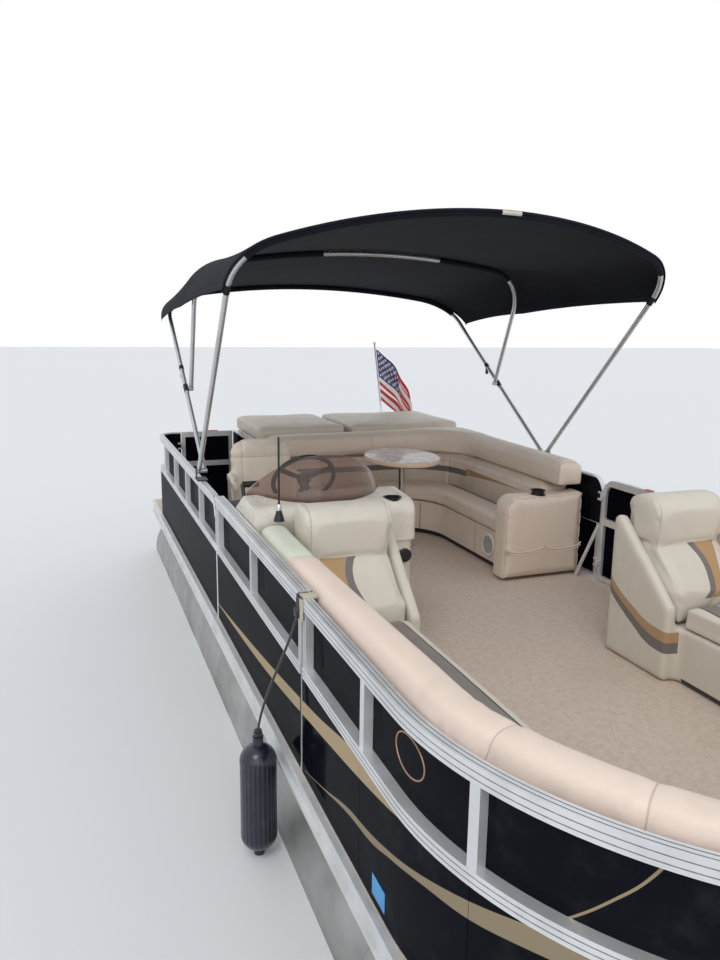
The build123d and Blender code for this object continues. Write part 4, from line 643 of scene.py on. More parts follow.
def lay_map(mesh, count, place):
    """Writes a cloth's own map: place(row, column) says where on it a point lies, in rows of count points."""
    cloth = mesh.uv_layers.new(name="cloth")
    for loop in mesh.loops:
        cloth.data[loop.index].uv = place(*divmod(loop.vertex_index, count))


def join_rings(shape, rings, closed):
    """Faces between rings of vertices, with caps on an open run."""
    count = len(rings[0])
    pairs = list(zip(rings, rings[1:])) + ([(rings[-1], rings[0])] if closed else [])
    for a, b in pairs:
        for i in range(count):
            j = (i + 1) % count
            shape.faces.new((a[i], a[j], b[j], b[i]))
    if not closed:
        shape.faces.new(rings[0][::-1])
        shape.faces.new(rings[-1])


def add_tube(shape, points, radius, sides=12, closed=False):
    """Round bar along points."""
    points = [Vector(p) for p in points]
    last = len(points) - 1
    rings = []
    side = None
    for i, p in enumerate(points):
        if closed:
            ahead = points[(i + 1) % len(points)] - points[i - 1]
        else:
            ahead = points[min(i + 1, last)] - points[max(i - 1, 0)]
        ahead.normalize()
        if side is None:
            side = ahead.orthogonal().normalized()
        side = (side - ahead * side.dot(ahead)).normalized()
        other = ahead.cross(side)
        rings.append([shape.verts.new(p + radius * (math.cos(a) * side + math.sin(a) * other))
                      for a in circle(sides)])
    join_rings(shape, rings, closed)


def add_lathe(shape, centre, axis, profile, sides=36):
    """Turned solid from a closed profile of (radius, height along the axis), its radii over nought."""
    axis = Vector(axis).normalized()
    side = axis.orthogonal().normalized()
    other = axis.cross(side)
    rings = []
    for a in circle(sides):
        out = math.cos(a) * side + math.sin(a) * other
        rings.append([shape.verts.new(Vector(centre) + axis * h + out * max(r, 0.00005)) for r, h in profile])
    join_rings(shape, rings, True)


def add_box(shape, low, high, bevel=0.0):
    """Box between two corners with bevelled edges."""
    low, high = Vector(low), Vector(high)
    made = bmesh.ops.create_cube(shape, size=1.0)["verts"]
    size, middle = high - low, (high + low) / 2
    for v in made:
        v.co = middle + Vector(c * s for c, s in zip(v.co, size))
    if bevel:
        edges = list({e for v in made for e in v.link_edges})
        bmesh.ops.bevel(shape, geom=edges, offset=bevel, segments=3, affect="EDGES", profile=0.5)


def circle(count):
    """That many angles round a circle."""
    return [2 * math.pi * k / count for k in range(count)]


def turned(name, slot, *solids, finish=None):
    """A piece of turned solids, each (centre, axis, profile, sides)."""
    shape = bmesh.new()
    for solid in solids:
        add_lathe(shape, *solid)
    shape_piece(name, shape, slot, finish)


def boxed(name, slot, bevel, *boxes, finish=None):
    """A piece of boxes, each (low corner, high corner) on the boat."""
    shape = bmesh.new()
    for low, high in boxes:
        add_box(shape, at(*low), at(*high), bevel)
    shape_piece(name, shape, slot, finish)


def resampled(path, count):
    """That many points at even steps along a path."""
    steps = [0.0]
    for p, q in zip(path, path[1:]):
        steps.append(steps[-1] + (q - p).length)
    points, k = [], 0
    for i in range(count):
        goal = steps[-1] * i / (count - 1)
        while k < len(path) - 2 and steps[k + 1] < goal:
            k += 1
        points.append(path[k].lerp(path[k + 1], (goal - steps[k]) / max(1e-9, steps[k + 1] - steps[k])))
    return points


# Fender line

RAIL_Y = 1.270
LINE_THICK = 0.010
HITCH_X = 4.845
ROUTE = [(FENDER_X, FENDER_Y, 0.030), (FENDER_X, FENDER_Y, 0.120), (HITCH_X, -1.277, 0.603),
         (HITCH_X, -1.277, 0.703), (HITCH_X, -1.223, 0.703), (HITCH_X, -1.223, 0.628)]


def cord_curve(name, points, radius):
    curve = bpy.data.curves.new(name, "CURVE")
    curve.dimensions = "3D"
    curve.bevel_depth = radius
    curve.bevel_resolution = 4
    curve.resolution_u = 12
    spline = curve.splines.new("NURBS")
    spline.points.add(len(points) - 1)
    for point, place in zip(spline.points, points):
        point.co = (*place, 1)
    spline.order_u = 3
    spline.use_endpoint_u = True
    return curve


HITCH_REACH = 0.014  # radius of the turns under the rail
HITCH_TURNS = ((4.8325, 0.004), (4.8575, -0.004))
HITCH_CORNERS = [(-1.2770, 0.703), (-1.2230, 0.703), (-1.2230, 0.644), (-1.2770, 0.644)]
EYE_TURNS = ((0.034, 0.013, 0.25), (0.044, 0.012, -0.3), (0.054, 0.011, 0.2))


def fender_knots():
    """Knot over the fender's eye, and the hitch round the top rail."""
    shape = bmesh.new()
    for lift, reach, tip in EYE_TURNS:
        ring = [at(FENDER_X, FENDER_Y, lift) + reach * Vector((math.cos(a), math.sin(a), tip * math.cos(a)))
                for a in circle(24)]
        add_tube(shape, ring, 0.006, 10, True)
    shape_piece("fender_knot", shape, "line_black")
    shape = bmesh.new()
    for x, lean in HITCH_TURNS:
        ring = []
        for k, (y, z) in enumerate(HITCH_CORNERS):
            y1, z1 = HITCH_CORNERS[(k + 1) % 4]
            ring += [at(x + lean * math.cos(math.pi * (k + t)), y + (y1 - y) * t, z + (z1 - z) * t)
                     for t in (0.06, 0.3, 0.5, 0.7, 0.94)]
        add_tube(shape, ring, 0.0052, 10, True)
    for k in range(3):
        middle = at(HITCH_X, -1.2835, 0.640 - 0.011 * k)
        ring = [middle + Vector((HITCH_REACH * math.cos(a), 0.004 * math.sin(2 * a), 0.007 * math.sin(a)))
                for a in circle(24)]
        add_tube(shape, ring, 0.0050, 10, True)
    shape_piece("rail_hitch", shape, "line_black")


fender_knots()
rope = cord_curve("fender_rope", [at(*p) for p in ROUTE], LINE_THICK / 2)
fender_line = new_piece("fender_rope", rope, "boat", FINISH_OF["line_black"])
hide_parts("fender_line")


# Bimini: canvas, sleeves and straps

def arch(half, foot, crown, round_crown, corner, count):
    """Arch in its own plane as points (across, reach): straight legs, corner arcs and a shallow crown."""
    spring = crown - round_crown + math.sqrt((round_crown - corner) ** 2 - (half - corner) ** 2)
    across = (half - corner) * round_crown / (round_crown - corner)
    meet = crown - round_crown + math.sqrt(round_crown ** 2 - across ** 2)
    turn = math.atan2(meet - spring, across - half + corner)
    path = [Vector((half, foot))]
    path += [Vector((half - corner + corner * math.cos(turn * k / 16),
                     spring + corner * math.sin(turn * k / 16))) for k in range(17)]
    start = math.atan2(meet - crown + round_crown, across)
    path += [Vector((round_crown * math.cos(a), crown - round_crown + round_crown * math.sin(a)))
             for a in (start + (math.pi / 2 - start) * k / 16 for k in range(1, 17))]
    path += [Vector((-p.x, p.y)) for p in path[-2::-1]]
    return resampled(path, count), spring


def leg_direction(angle):
    return Vector((math.cos(math.radians(angle)), 0, math.sin(math.radians(angle))))


HINGE = at(2.620, 0, 0.752)
MIDDLE_HINGE = HINGE + 0.810 * leg_direction(146)
# Each bow: angle from ahead, hinge, half width, reach to the crown, the crown's radius, the corners' radius, and
# the cloth's height over its axis
BOWS = {
    "rear": (146, HINGE, 1.232, 2.150, 3.400, 0.360, 0.0315),
    "middle": (68, MIDDLE_HINGE, 1.198, 0.990, 5.500, 0.300, 0.0225),
    "front": (47.5, HINGE, 1.266, 1.960, 2.780, 0.320, 0.0255),
}
CLOTH_HALF = 1.266
HEM = 0.012
LIP = ((0.008, 0.002), (0.013, 0.009))  # how the end hems turn down: out and down from the last bow
CLOTH_COUNT = 97
SLEEVE_RADIUS = 0.0185
SLEEVE_REACH = {"front": 1.210, "rear": 1.215, "middle": 1.090}
BARE = (-0.35, 0.49)  # the middle bow has no sleeve between these


def bow_arch(name, foot, grow=0.0, half=None, count=97):
    """Points along a bow, grown outward from its axis."""
    angle, hinge, own_half, crown, round_crown, corner = BOWS[name][:6]
    half = half or own_half
    if foot is None:
        foot = arch(half, 0, crown, round_crown, corner, 3)[1] - HEM
    points = arch(half + grow, foot, crown + grow, round_crown + grow, corner + grow, count)[0]
    return [hinge + leg_direction(angle) * r + Vector((0, y, 0)) for y, r in points]


def canvas_rows():
    sections = [bow_arch(name, None, BOWS[name][6], CLOTH_HALF) for name in ("rear", "middle", "front")]
    rows = []
    for a, b, steps, sag in ((0, 1, 18, 0.010), (1, 2, 24, 0.016)):
        for i in range(steps + (b == 2)):
            t = i / steps
            belly = 4 * t * (1 - t)
            row = []
            for j in range(CLOTH_COUNT):
                edge = abs(2 * j / (CLOTH_COUNT - 1) - 1)
                p = sections[a][j].lerp(sections[b][j], t)
                p.z -= sag * belly * max(0.0, 1 - edge ** 6)
                p.z += 0.016 * belly * max(0.0, (edge - 0.9) / 0.1)
                p.y *= 1 - 0.004 * belly * min(1, edge * 1.4)
                row.append(p)
            rows.append(row)
    front, rear = leg_direction(BOWS["front"][0]), leg_direction(BOWS["rear"][0])
    ahead, back = Vector((front.z, 0, -front.x)), Vector((-rear.z, 0, rear.x))
    lip = [[p + ahead * out - front * drop for p in sections[2]] for out, drop in LIP]
    tail = [[p + back * out - rear * drop for p in sections[0]] for out, drop in LIP[::-1]]
    return tail + rows + lip, sections


def bimini_canvas():
    """One sheet over the three bows, its map in metres from the nearer side hem."""
    rows, sections = canvas_rows()
    mesh = grid_mesh("bimini_top", rows)
    across = sum((p - q).length for p, q in zip(sections[2], sections[2][1:]))
    last = CLOTH_COUNT - 1
    lay_map(mesh, CLOTH_COUNT, lambda i, j: (across * min(j, last - j) / last, i / len(rows)))
    piece = new_piece("bimini_top", mesh, None, FINISH_OF["canvas"])
    thicken(piece, 0.0016, 0)
    piece.data.shade_smooth()
    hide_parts("bimini_canvas")
    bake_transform(piece)


def bimini_sleeves():
    """Cloth sleeves sewn round the bows. The middle one leaves the tube bare near the middle."""
    for name, reach in SLEEVE_REACH.items():
        path = [p for p in bow_arch(name, 0.5, count=181) if abs(p.y) < reach]
        shape = bmesh.new()
        if name == "middle":
            add_tube(shape, [p for p in path if p.y > BARE[1]], SLEEVE_RADIUS, 14)
            add_tube(shape, [p for p in path if p.y < BARE[0]], SLEEVE_RADIUS, 14)
        else:
            add_tube(shape, path, SLEEVE_RADIUS, 14)
        shape_piece("sleeve_" + name, shape, "canvas", body="bimini_" + name)


LEG_FITTINGS = {  # bow, sleeves as (radius, places up the leg), and a box as (place up the leg, its corners)
    "leg_straps": ("front", [(0.0172, (1.420, 1.425, 1.470, 1.475))],
                   (1.425, (-0.020, -0.010, -0.004), (-0.006, 0.010, 0.020))),
    "leg_sliders": ("rear", [(0.0175, (0.775, 0.785, 0.835, 0.845)), (0.0172, (1.020, 1.026, 1.052, 1.058))],
                    (1.040, (-0.012, -0.008, -0.066), (0.012, 0.008, -0.014))),
}


def leg_fittings():
    """Straps and sliders on both legs of a bow."""
    for name, (bow, sleeves, (place, first, last)) in LEG_FITTINGS.items():
        angle, hinge, half = BOWS[bow][:3]
        along = leg_direction(angle)
        shape = bmesh.new()
        for side in (-1, 1):
            foot = hinge + Vector((0, side * half, 0))
            for radius, rings in sleeves:
                add_tube(shape, [foot + along * r for r in rings], radius, 14)
            middle = foot + along * place
            add_box(shape, middle + Vector(first), middle + Vector(last), 0.003)
        finish = strap_web if name == "leg_straps" else None
        shape_piece(name, shape, "black_plastic", finish, body="bimini_" + bow)


TAG_START, TAG_WIDTH = 0.012, 0.110  # off the boat's centre line, to port
TAG_REAR = (-0.030, 0, 0.0009)
TAG_FOLD = ((0.006, 0.0022), (0.0158, -0.006), (0.0158, -0.030))  # ahead of the hem and up from it


def canvas_tag():
    """Bare tag sewn to the front hem."""
    angle, hinge, half, crown, round_crown, corner, over = BOWS["front"]
    along = leg_direction(angle)
    ahead = Vector((along.z, 0, -along.x))
    rows = []
    for step in range(6):
        y = TAG_START + TAG_WIDTH * step / 5
        reach = crown - round_crown + math.sqrt(round_crown ** 2 - y ** 2) + over
        edge = hinge + along * reach + Vector((0, y, 0))
        rows.append([edge + Vector(TAG_REAR)] + [edge + ahead * out + along * up for out, up in TAG_FOLD])
    mesh = grid_mesh("canvas_tag", rows)
    tag = new_piece("canvas_tag", mesh, None, plastic("tag_cloth", rgb(216, 208, 194), 0.7))
    thicken(tag, 0.001, -1)
    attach(tag, "bimini_front")


bimini_sleeves()
leg_fittings()
canvas_tag()
bimini_canvas()


# Flag

FLAG_FLY = 0.762
FLAG_HOIST = 0.508
FLAG_STEPS = (60, 84)
CANTON_LONG, CANTON_HIGH = 0.4, 7 / 13
STAFF_FOOT = at(0.375, 0.900, 0.596)
STAFF_TOP = at(0.170, 0.870, 1.470)
STAFF_UP = (STAFF_TOP - STAFF_FOOT).normalized()
FLY_WAY = Vector((0.15, 0.5, -0.85)).normalized()
OFF_STAFF = (FLY_WAY - STAFF_UP * FLY_WAY.dot(STAFF_UP)).normalized()
LUFF = STAFF_TOP - STAFF_UP * 0.060 + OFF_STAFF * 0.013
FLAG_OUT = FLY_WAY.cross(STAFF_UP).normalized()


def flag_finish():
    f = Finish("flag_cloth", rgb(238, 236, 232), 0.8, Sheen_Weight=0.2)
    cloth = f.cloth_map()
    stripe = f.calc("MODULO", f.times(cloth[Y], 13.0), 2.0)
    f.tint(f.calc("LESS_THAN", stripe, 1.0), rgb(190, 34, 50))
    canton = f.times(f.calc("LESS_THAN", cloth[X], CANTON_LONG), f.calc("LESS_THAN", cloth[Y], CANTON_HIGH))
    f.tint(canton, rgb(52, 54, 108))
    f.patches(30, 3.0, 0.55, 0.4, 0.7, 0.15, rgb(180, 176, 172))
    f.bump(f.noise(400), 0.0002)
    return f.done()


def flag_place(u, v):
    """A point of the flag: u from the staff to the fly, v from its top down, both 0 to 1.

    Its upper edge droops from 35 degrees at the staff to 85 at the fly.
    """
    free = min(1.0, 4 * u)
    start, turn = math.radians(35), math.radians(50)
    across = (math.sin(start + turn * u) - math.sin(start)) / turn
    down = (math.cos(start) - math.cos(start + turn * u)) / turn
    fold = -free * (0.018 * math.sin(5 * math.pi * u + 0.5 * v) + 0.0198 * math.sin(7 * math.pi * v))
    return LUFF + FLAG_FLY * Vector((0.15 * u, across, -down)) - STAFF_UP * (v * FLAG_HOIST) + FLAG_OUT * fold


def flag_piece():
    out, down = FLAG_STEPS
    rows = [[flag_place(i / out, j / down) for j in range(down + 1)] for i in range(out + 1)]
    mesh = grid_mesh("flag_sheet", rows)
    lay_map(mesh, down + 1, lambda i, j: (i / out, j / down))
    mesh.shade_smooth()
    piece = new_piece("flag_sheet", mesh, "boat", flag_finish())
    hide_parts("flag")


def flag_stars():
    """Fifty small stars on both sides of the canton, and the rings that hold the hoist to the staff."""
    shape = bmesh.new()
    for row in range(9):
        for column in range(6 if row % 2 == 0 else 5):
            u = CANTON_LONG * (column * 2 + (1 if row % 2 == 0 else 2)) / 12
            v = CANTON_HIGH * (row + 1) / 10
            here = flag_place(u, v)
            normal = (flag_place(u + 0.01, v) - here).cross(flag_place(u, v + 0.01) - here).normalized()
            for side in (-1, 1):
                ring = []
                for k in range(10):
                    size = 0.0155 if k % 2 == 0 else 0.0062
                    angle = math.pi * k / 5
                    p = flag_place(u + size * math.sin(angle) / FLAG_FLY, v - size * math.cos(angle) / FLAG_HOIST)
                    ring.append(shape.verts.new(p + side * 0.0008 * normal))
                shape.faces.new(ring)
    mesh = bpy.data.meshes.new("flag_stars")
    shape.to_mesh(mesh)
    new_piece("flag_stars", mesh, "boat", plastic("star_cloth", rgb(238, 238, 234), 0.8))
    shape = bmesh.new()
    for v in (0.015, 0.985):
        centre = LUFF - OFF_STAFF * 0.013 - STAFF_UP * (v * FLAG_HOIST)
        side = OFF_STAFF.cross(STAFF_UP)
        ring = [centre + OFF_STAFF * (0.005 + 0.0155 * math.cos(a)) + side * (0.0125 * math.sin(a))
                for a in circle(24)]
        add_tube(shape, ring, 0.0016, 8, True)
    shape_piece("flag_rings", shape, "steel")


flag_stars()
flag_piece()


# Fence trim

def plan_path(start, heading, *legs):
    """Points in plan along legs.

    ("to", axis, place) goes straight, and ("turn", radius, degrees to the left) bends.
    """
    x, y = start
    angle = math.radians(heading)
    points = [(x, y)]
    for leg in legs:
        if leg[0] == "to":
            x, y = (leg[2], y) if leg[1] == X else (x, leg[2])
            points.append((x, y))
            continue
        radius, turn = leg[1], math.radians(leg[2])
        side = math.copysign(radius, turn)
        centre = (x - side * math.sin(angle), y + side * math.cos(angle))
        steps = int(abs(leg[2]) / 2.5)
        for i in range(1, steps + 1):
            a = angle + turn * i / steps
            points.append((centre[0] + side * math.sin(a), centre[1] - side * math.cos(a)))
        angle += turn
        x, y = points[-1]
    return points


BOW_BENDS = ((1.125, 55), (0.450, 35))
CORNER_X = 0.605
STERN_CORNER = 0.170


def fence_lines(inset):
    """Plan lines of the fence's five runs, inset from their outer faces."""
    y = RAIL_Y - inset
    bow = [("turn", radius - inset, turn) for radius, turn in BOW_BENDS]
    port_bow = [("turn", radius, -turn) for kind, radius, turn in bow]
    corner = STERN_CORNER - inset
    return {
        "aft_starboard": plan_path((3.060, -y), 180, ("to", X, CORNER_X), ("turn", corner, -90),
                                   ("to", Y, -1.075)),
        "middle_starboard": plan_path((3.200, -y), 0, ("to", X, 4.840)),
        "bow_starboard": plan_path((4.870, -y), 0, ("to", X, BEND_X), *bow, ("to", Y, -0.352)),
        "aft_port": plan_path((3.208, y), 180, ("to", X, CORNER_X), ("turn", corner, 90), ("to", Y, 0.605)),
        "bow_port": plan_path((4.240, y), 0, ("to", X, BEND_X), *port_bow, ("to", Y, 0.352)),
    }


def add_strip(shape, outer, inner, low, high):
    """Thin bar along two plan lines that run side by side."""
    rings = [[shape.verts.new(at(*place)) for place in ((*a, low), (*a, high), (*b, high), (*b, low))]
             for a, b in zip(outer, inner)]
    join_rings(shape, rings, False)


RAIL_GROOVES = (0.664, 0.682, 0.400, 0.4165)
CAP_TOP = {"middle_starboard": 0.714}  # the other rails end at RAIL_TOP
RAIL_TOP = 0.696


def fence_groove_shade():
    """Thin dark strips of painted shade where the valleys between the ridges of the extruded rails and posts lie.
    """
    shape = bmesh.new()
    for near, far in ((-0.0005, 0.001), (0.034, 0.0355)):
        outer, inner = fence_lines(near), fence_lines(far)
        for name in outer:
            for height in RAIL_GROOVES:
                add_strip(shape, outer[name], inner[name], height - 0.0011, height + 0.0011)
    for near, far in ((0.009, 0.0115), (0.023, 0.0255)):
        outer, inner = fence_lines(near), fence_lines(far)
        for name in outer:
            top = CAP_TOP.get(name, RAIL_TOP)
            add_strip(shape, outer[name], inner[name], top - 0.0006, top + 0.0005)
    shape_piece("rail_groove_shade", shape, "rail_metal", groove_shade)


POSTS = [(x, -1) for x in (3.216, 4.020, 4.824, 4.886, 3.154, 2.583, 2.012, 1.441)]
POSTS += [(x, 1) for x in (3.302, 2.756, 2.210, 1.664, 4.146)]  # along the boat, and the side
POST_FACES = ((1.2645, 1.2664, 0.431, 0.650), (1.2355, 1.2374, 0.031, 0.386))  # a groove's depth and its height


def post_groove_shade():
    """Two thin dark strips of painted shade down each post of the straight runs, where its valleys lie."""
    boxes = []
    for x, side in POSTS:
        for off in (-0.0055, 0.0055):
            for y0, y1, low, high in POST_FACES:
                near, far = sorted((side * y0, side * y1))
                boxes.append(((x + off - 0.0009, near, low), (x + off + 0.0009, far, high)))
    boxed("post_groove_shade", "rail_metal", 0.0, *boxes, finish=groove_shade)


RIVET = [(0.0, -0.0005), (0.0042, -0.0005), (0.0036, 0.0009), (0.0018, 0.0015), (0.0, 0.0017)]
JOINT_CAP = (((4.8535, -1.2785, 0.6925), (4.8885, -1.2165, 0.7085)),
             ((4.8535, -1.2785, 0.6100), (4.8885, -1.2695, 0.7085)))
REFLECTORS = (((3.715, 1.2355, 0.6965), (3.770, 1.2600, 0.7035)),
              ((0.442, -0.835, 0.6965), (0.462, -0.745, 0.7035)))
STICKER = ((5.585, -1.2712, 0.034), (5.680, -1.2698, 0.100))
BADGE = (5.738, 0.552, 0.083, 0.056)  # its middle along the boat and over the carpet, half its length and height
BADGE_FACE = 1.0905                   # radius of the panel's face under its rim


def fence_rivets():
    """Rivet heads along the middle rail's outer face and along the deck's edge trim."""
    rivets = []
    for side in (-1, 1):
        rail = [0.80 + 0.40 * k for k in range(13)]
        rivets += [(x, side * RAIL_Y, 0.4083) for x in rail if side < 0 or not 3.30 < x < 4.15]
        rivets += [(0.35 + 0.36 * k, side * 1.283, -0.045) for k in range(18)]
    turned("rivets", "rail_metal", *[(at(*place), (0, place[1], 0), RIVET, 10) for place in rivets])


def rail_trim():
    """Joint cap, reflectors, the bare sticker and the rim of the bare badge."""
    beige = plastic("beige_plastic", rgb(190, 184, 166), 0.45)
    boxed("rail_joint_cap", "rub_rail", 0.003, *JOINT_CAP, finish=beige)
    red = plastic("reflector_red", rgb(214, 92, 62), 0.25, Coat_Weight=0.5)
    boxed("reflectors", "black_plastic", 0.002, *REFLECTORS, finish=red)
    boxed("bare_sticker", "panel_black", 0.0004, STICKER, finish=plastic("sticker_blue", rgb(60, 150, 214), 0.35))
    rim = []
    for a in circle(40):
        x, z = BADGE[0] + BADGE[2] * math.cos(a), BADGE[1] + BADGE[3] * math.sin(a)
        rim.append(at(x, -BEND_Y - math.sqrt(BADGE_FACE ** 2 - max(0.0, x - BEND_X) ** 2), z))
    shape = bmesh.new()
    add_tube(shape, rim, 0.0026, 8, True)
    shape_piece("badge_rim", shape, "panel_black", plastic("badge_tan", rgb(176, 140, 118), 0.35, metal=0.4))


fence_groove_shade()
post_groove_shade()
fence_rivets()
rail_trim()


# Cabin trim

CUPS = {  # place of the rim, radius, depth
    "console_cup": ((3.880, -0.500, 0.803), 0.040, 0.085),
    "lounge_cup": ((3.100, 0.890, 0.590), 0.042, 0.078),
}
SPEAKER = (2.815, 0.700, 0.155)
VENT = (3.952, -0.452, 0.512)
POCKET_BUTTON = (3.180, 0.905, 0.236)
ANTENNA_FOOT = (3.990, -1.120, 0.806)
DASH_X, DASH_Z = 3.420, 0.675
GAUGES = ((-0.79, 0.235, 0.052), (-0.93, 0.225, 0.034), (-0.65, 0.225, 0.034))  # y, distance up the dash, radius
GRILLE = [(0.0, -0.002), (0.083, -0.002), (0.083, 0.003), (0.079, 0.008), (0.070, 0.0085), (0.066, 0.005),
          (0.0, 0.005)]
HOLE = [(0.0, 0.0), (0.0062, 0.0), (0.0062, 0.0012), (0.0, 0.0012)]
VENT_DOME = [(0.0, -0.013), (0.036, -0.013), (0.036, 0.0), (0.030, 0.006), (0.0, 0.008)]
BUTTON = [(0.0, 0.0), (0.009, 0.0), (0.009, 0.004), (0.005, 0.007), (0.0, 0.008)]
FERRULE = [(0.0, 0.0), (0.0135, 0.0), (0.0135, 0.012), (0.010, 0.030), (0.0, 0.030)]
UP, AHEAD, TO_STARBOARD = (0, 0, 1), (1, 0, 0), (0, -1, 0)


def cup_profile(radius, depth):
    """Cup liner with a rolled rim, its wall one millimetre inside the bore."""
    wall = radius - 0.001
    inner = wall - 0.004
    return [(0.0, -depth), (wall, -depth), (wall, 0.0), (radius + 0.006, 0.0005), (radius + 0.008, 0.003),
            (radius + 0.004, 0.0055), (inner, 0.003), (inner, -depth + 0.002), (0.0, -depth + 0.002)]


def cups():
    for name, (place, radius, depth) in CUPS.items():
        turned(name, "black_plastic", (at(*place), UP, cup_profile(radius, depth), 36))


def speaker():
    """Round grille on the port lounge's base, and the vent in the console."""
    white = plastic("white_plastic", rgb(226, 224, 218), 0.4)
    turned("speaker_ring", "cream_plastic", (at(*SPEAKER), TO_STARBOARD, GRILLE, 48), finish=white)
    holes = []
    for row, (count, reach) in enumerate(((8, 0.020), (14, 0.038), (18, 0.055))):
        for a in circle(count):
            across, up = reach * math.cos(a + 0.2 * row), reach * math.sin(a + 0.2 * row)
            holes.append((at(*SPEAKER) + Vector((across, -0.0048, up)), TO_STARBOARD, HOLE, 10))
    turned("speaker_holes", "black_plastic", *holes)
    turned("console_vent", "black_plastic", (at(*VENT), AHEAD, VENT_DOME, 32))


def arm_pocket():
    """Piped mouth of the twin pocket on the end arm of the port lounge, and its button."""
    shape = bmesh.new()
    for lift, radius in ((0.0, 0.0042), (-0.017, 0.003)):
        path = []
        for k in range(61):
            t = k / 60
            dip = abs(math.sin(math.pi * min(1.0, 2 * t if t < 0.5 else 2 * t - 1)))
            path.append(at(3.1815, 0.612 + 0.586 * t, 0.232 - 0.036 * dip ** 0.5 + lift))
        add_tube(shape, path, radius, 10)
    add_lathe(shape, at(*POCKET_BUTTON), AHEAD, BUTTON, 16)
    shape_piece("arm_pocket", shape, "cream_vinyl", vinyl("pocket_vinyl", LOUNGE))


def helm_trim():
    """Ferrule of the antenna, and the gauges and switches of the dash."""
    turned("antenna_ferrule", "steel", (at(*ANTENNA_FOOT), UP, FERRULE, 24))
    slope = Vector((0.28, 0, 0.145)).normalized()
    out = Vector((-slope.z, 0, slope.x))
    faces, rims = [], []
    for y, along, r in GAUGES:
        centre = at(DASH_X, y, DASH_Z) + slope * along
        faces.append((centre, out, [(0.0, -0.002), (r, -0.002), (r, 0.003), (0.0, 0.003)], 32))
        rim = [(r - 0.004, 0.002), (r + 0.004, -0.001), (r + 0.004, 0.005), (r - 0.001, 0.008)]
        rims.append((centre, out, rim, 32))
    glass = plastic("gauge_black", rgb(18, 18, 20), 0.12, Coat_Weight=0.6)
    turned("gauge_faces", "black_plastic", *faces, finish=glass)
    turned("gauge_rims", "steel", *rims)
    foot = Vector((DASH_X, 0, DASH_Z)) + slope * 0.09
    switches = [Vector((foot.x, -1.05 + 0.045 * k, foot.z)) for k in range(5)]
    boxed("dash_switches", "black_plastic", 0.003,
          *[(p + Vector((-0.012, -0.011, 0.0)), p + Vector((0.016, 0.011, 0.016))) for p in switches])


cups()
speaker()
arm_pocket()
helm_trim()


# Padded pieces

PAD_INSET = 0.010
PAD_RISE, SUN_RISE = 0.013, 0.017
SEAM_DEPTH, SEAM_WIDTH = 0.005, 0.016
FRAMES = 20


def padded_piece(node, body, finish, voxel, seams, rise):
    """A CAD cushion's mesh made soft.

    It is remeshed, rounded, blown up by cloth, at most by rise, and then drawn in at its seams.
    """
    piece = bpy.data.objects.new(node + "_pad", NODES[node].data.copy())
    bpy.context.collection.objects.link(piece)
    rounded(piece, voxel, 6)
    applied(piece)
    mesh = piece.data
    start = [v.co - v.normal * PAD_INSET for v in mesh.vertices]
    for v, place in zip(mesh.vertices, start):
        v.co = place
    cloth = piece.modifiers.new("cloth", "CLOTH")
    cloth.settings.use_pressure = True
    cloth.settings.uniform_pressure_force = 4
    cloth.settings.effector_weights.gravity = 0
    cloth.settings.quality = 3
    cloth.collision_settings.use_collision = False
    scene = bpy.context.scene
    for number in range(1, FRAMES + 1):
        scene.frame_set(number)
    shape = piece.evaluated_get(bpy.context.evaluated_depsgraph_get()).data
    moved = [v.co.copy() for v in shape.vertices]
    piece.modifiers.clear()
    scene.frame_set(1)
    for v, place, goal in zip(mesh.vertices, start, moved):
        step = goal - place
        if step.length > rise:
            step *= rise / step.length
        v.co = place + step
    for direction, distance, *limits in seams:
        direction = Vector(direction)
        for v in mesh.vertices:
            gap = abs(v.co.dot(direction) - distance)
            if gap < 3 * SEAM_WIDTH and all(low <= v.co[axis] <= high for axis, low, high in limits):
                v.co -= v.normal * SEAM_DEPTH * math.exp(-(gap / SEAM_WIDTH) ** 2)
    mesh.shade_smooth()
    fine = piece.modifiers.new("fine", "SUBSURF")
    fine.levels = fine.render_levels = 1
    mesh.materials.clear()
    mesh.materials.append(finish)
    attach(piece, body)
    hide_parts(node)


def xs(x, *limits):
    """Seam plane across the boat."""
    return ((1, 0, 0), STERN + x, *limits)


def ys(y, *limits):
    return ((0, 1, 0), y, *limits)


def zs(z, *limits):
    return ((0, 0, 1), CARPET + z, *limits)


def bend_seam(x, y, side):
    """Seam across the side bolster where it bends round the bow."""
    out = Vector((x - BEND_X, y + BEND_Y, 0)).normalized()
    direction = Vector((-out.y, -side * out.x, 0))
    place = Vector((STERN + x, -side * y, 0))
    return (tuple(direction), direction.dot(place), span(BEND_X, 7.2))


INLAY = ((4.40, 0.745), (4.43, 0.715), (4.48, 0.698), (4.60, 0.692), (5.60, 0.692))


def seat_bands(side):
    """Grey inlay along a bow seat with black piping along its inboard edge."""
    sign = 1 if side == "port" else -1
    shift = LOUNGE_SHIFT[side] + 0.300
    line = [(STERN + x + shift, sign * y) for x, y in INLAY]

    def offset(off):
        return [(x, y + off) for x, y in line]
    edges = (line, offset(0.105)) if sign > 0 else (offset(-0.105), line)
    reach = (span(4.42 + shift, 5.60 + shift), high(0.375, 0.45))
    return [(curve_mask(Y, edges[0], edges[1], X, *reach), rgb(122, 114, 108)),
            (curve_mask(Y, offset(-0.003), offset(0.003), X, *reach), rgb(34, 30, 30))]


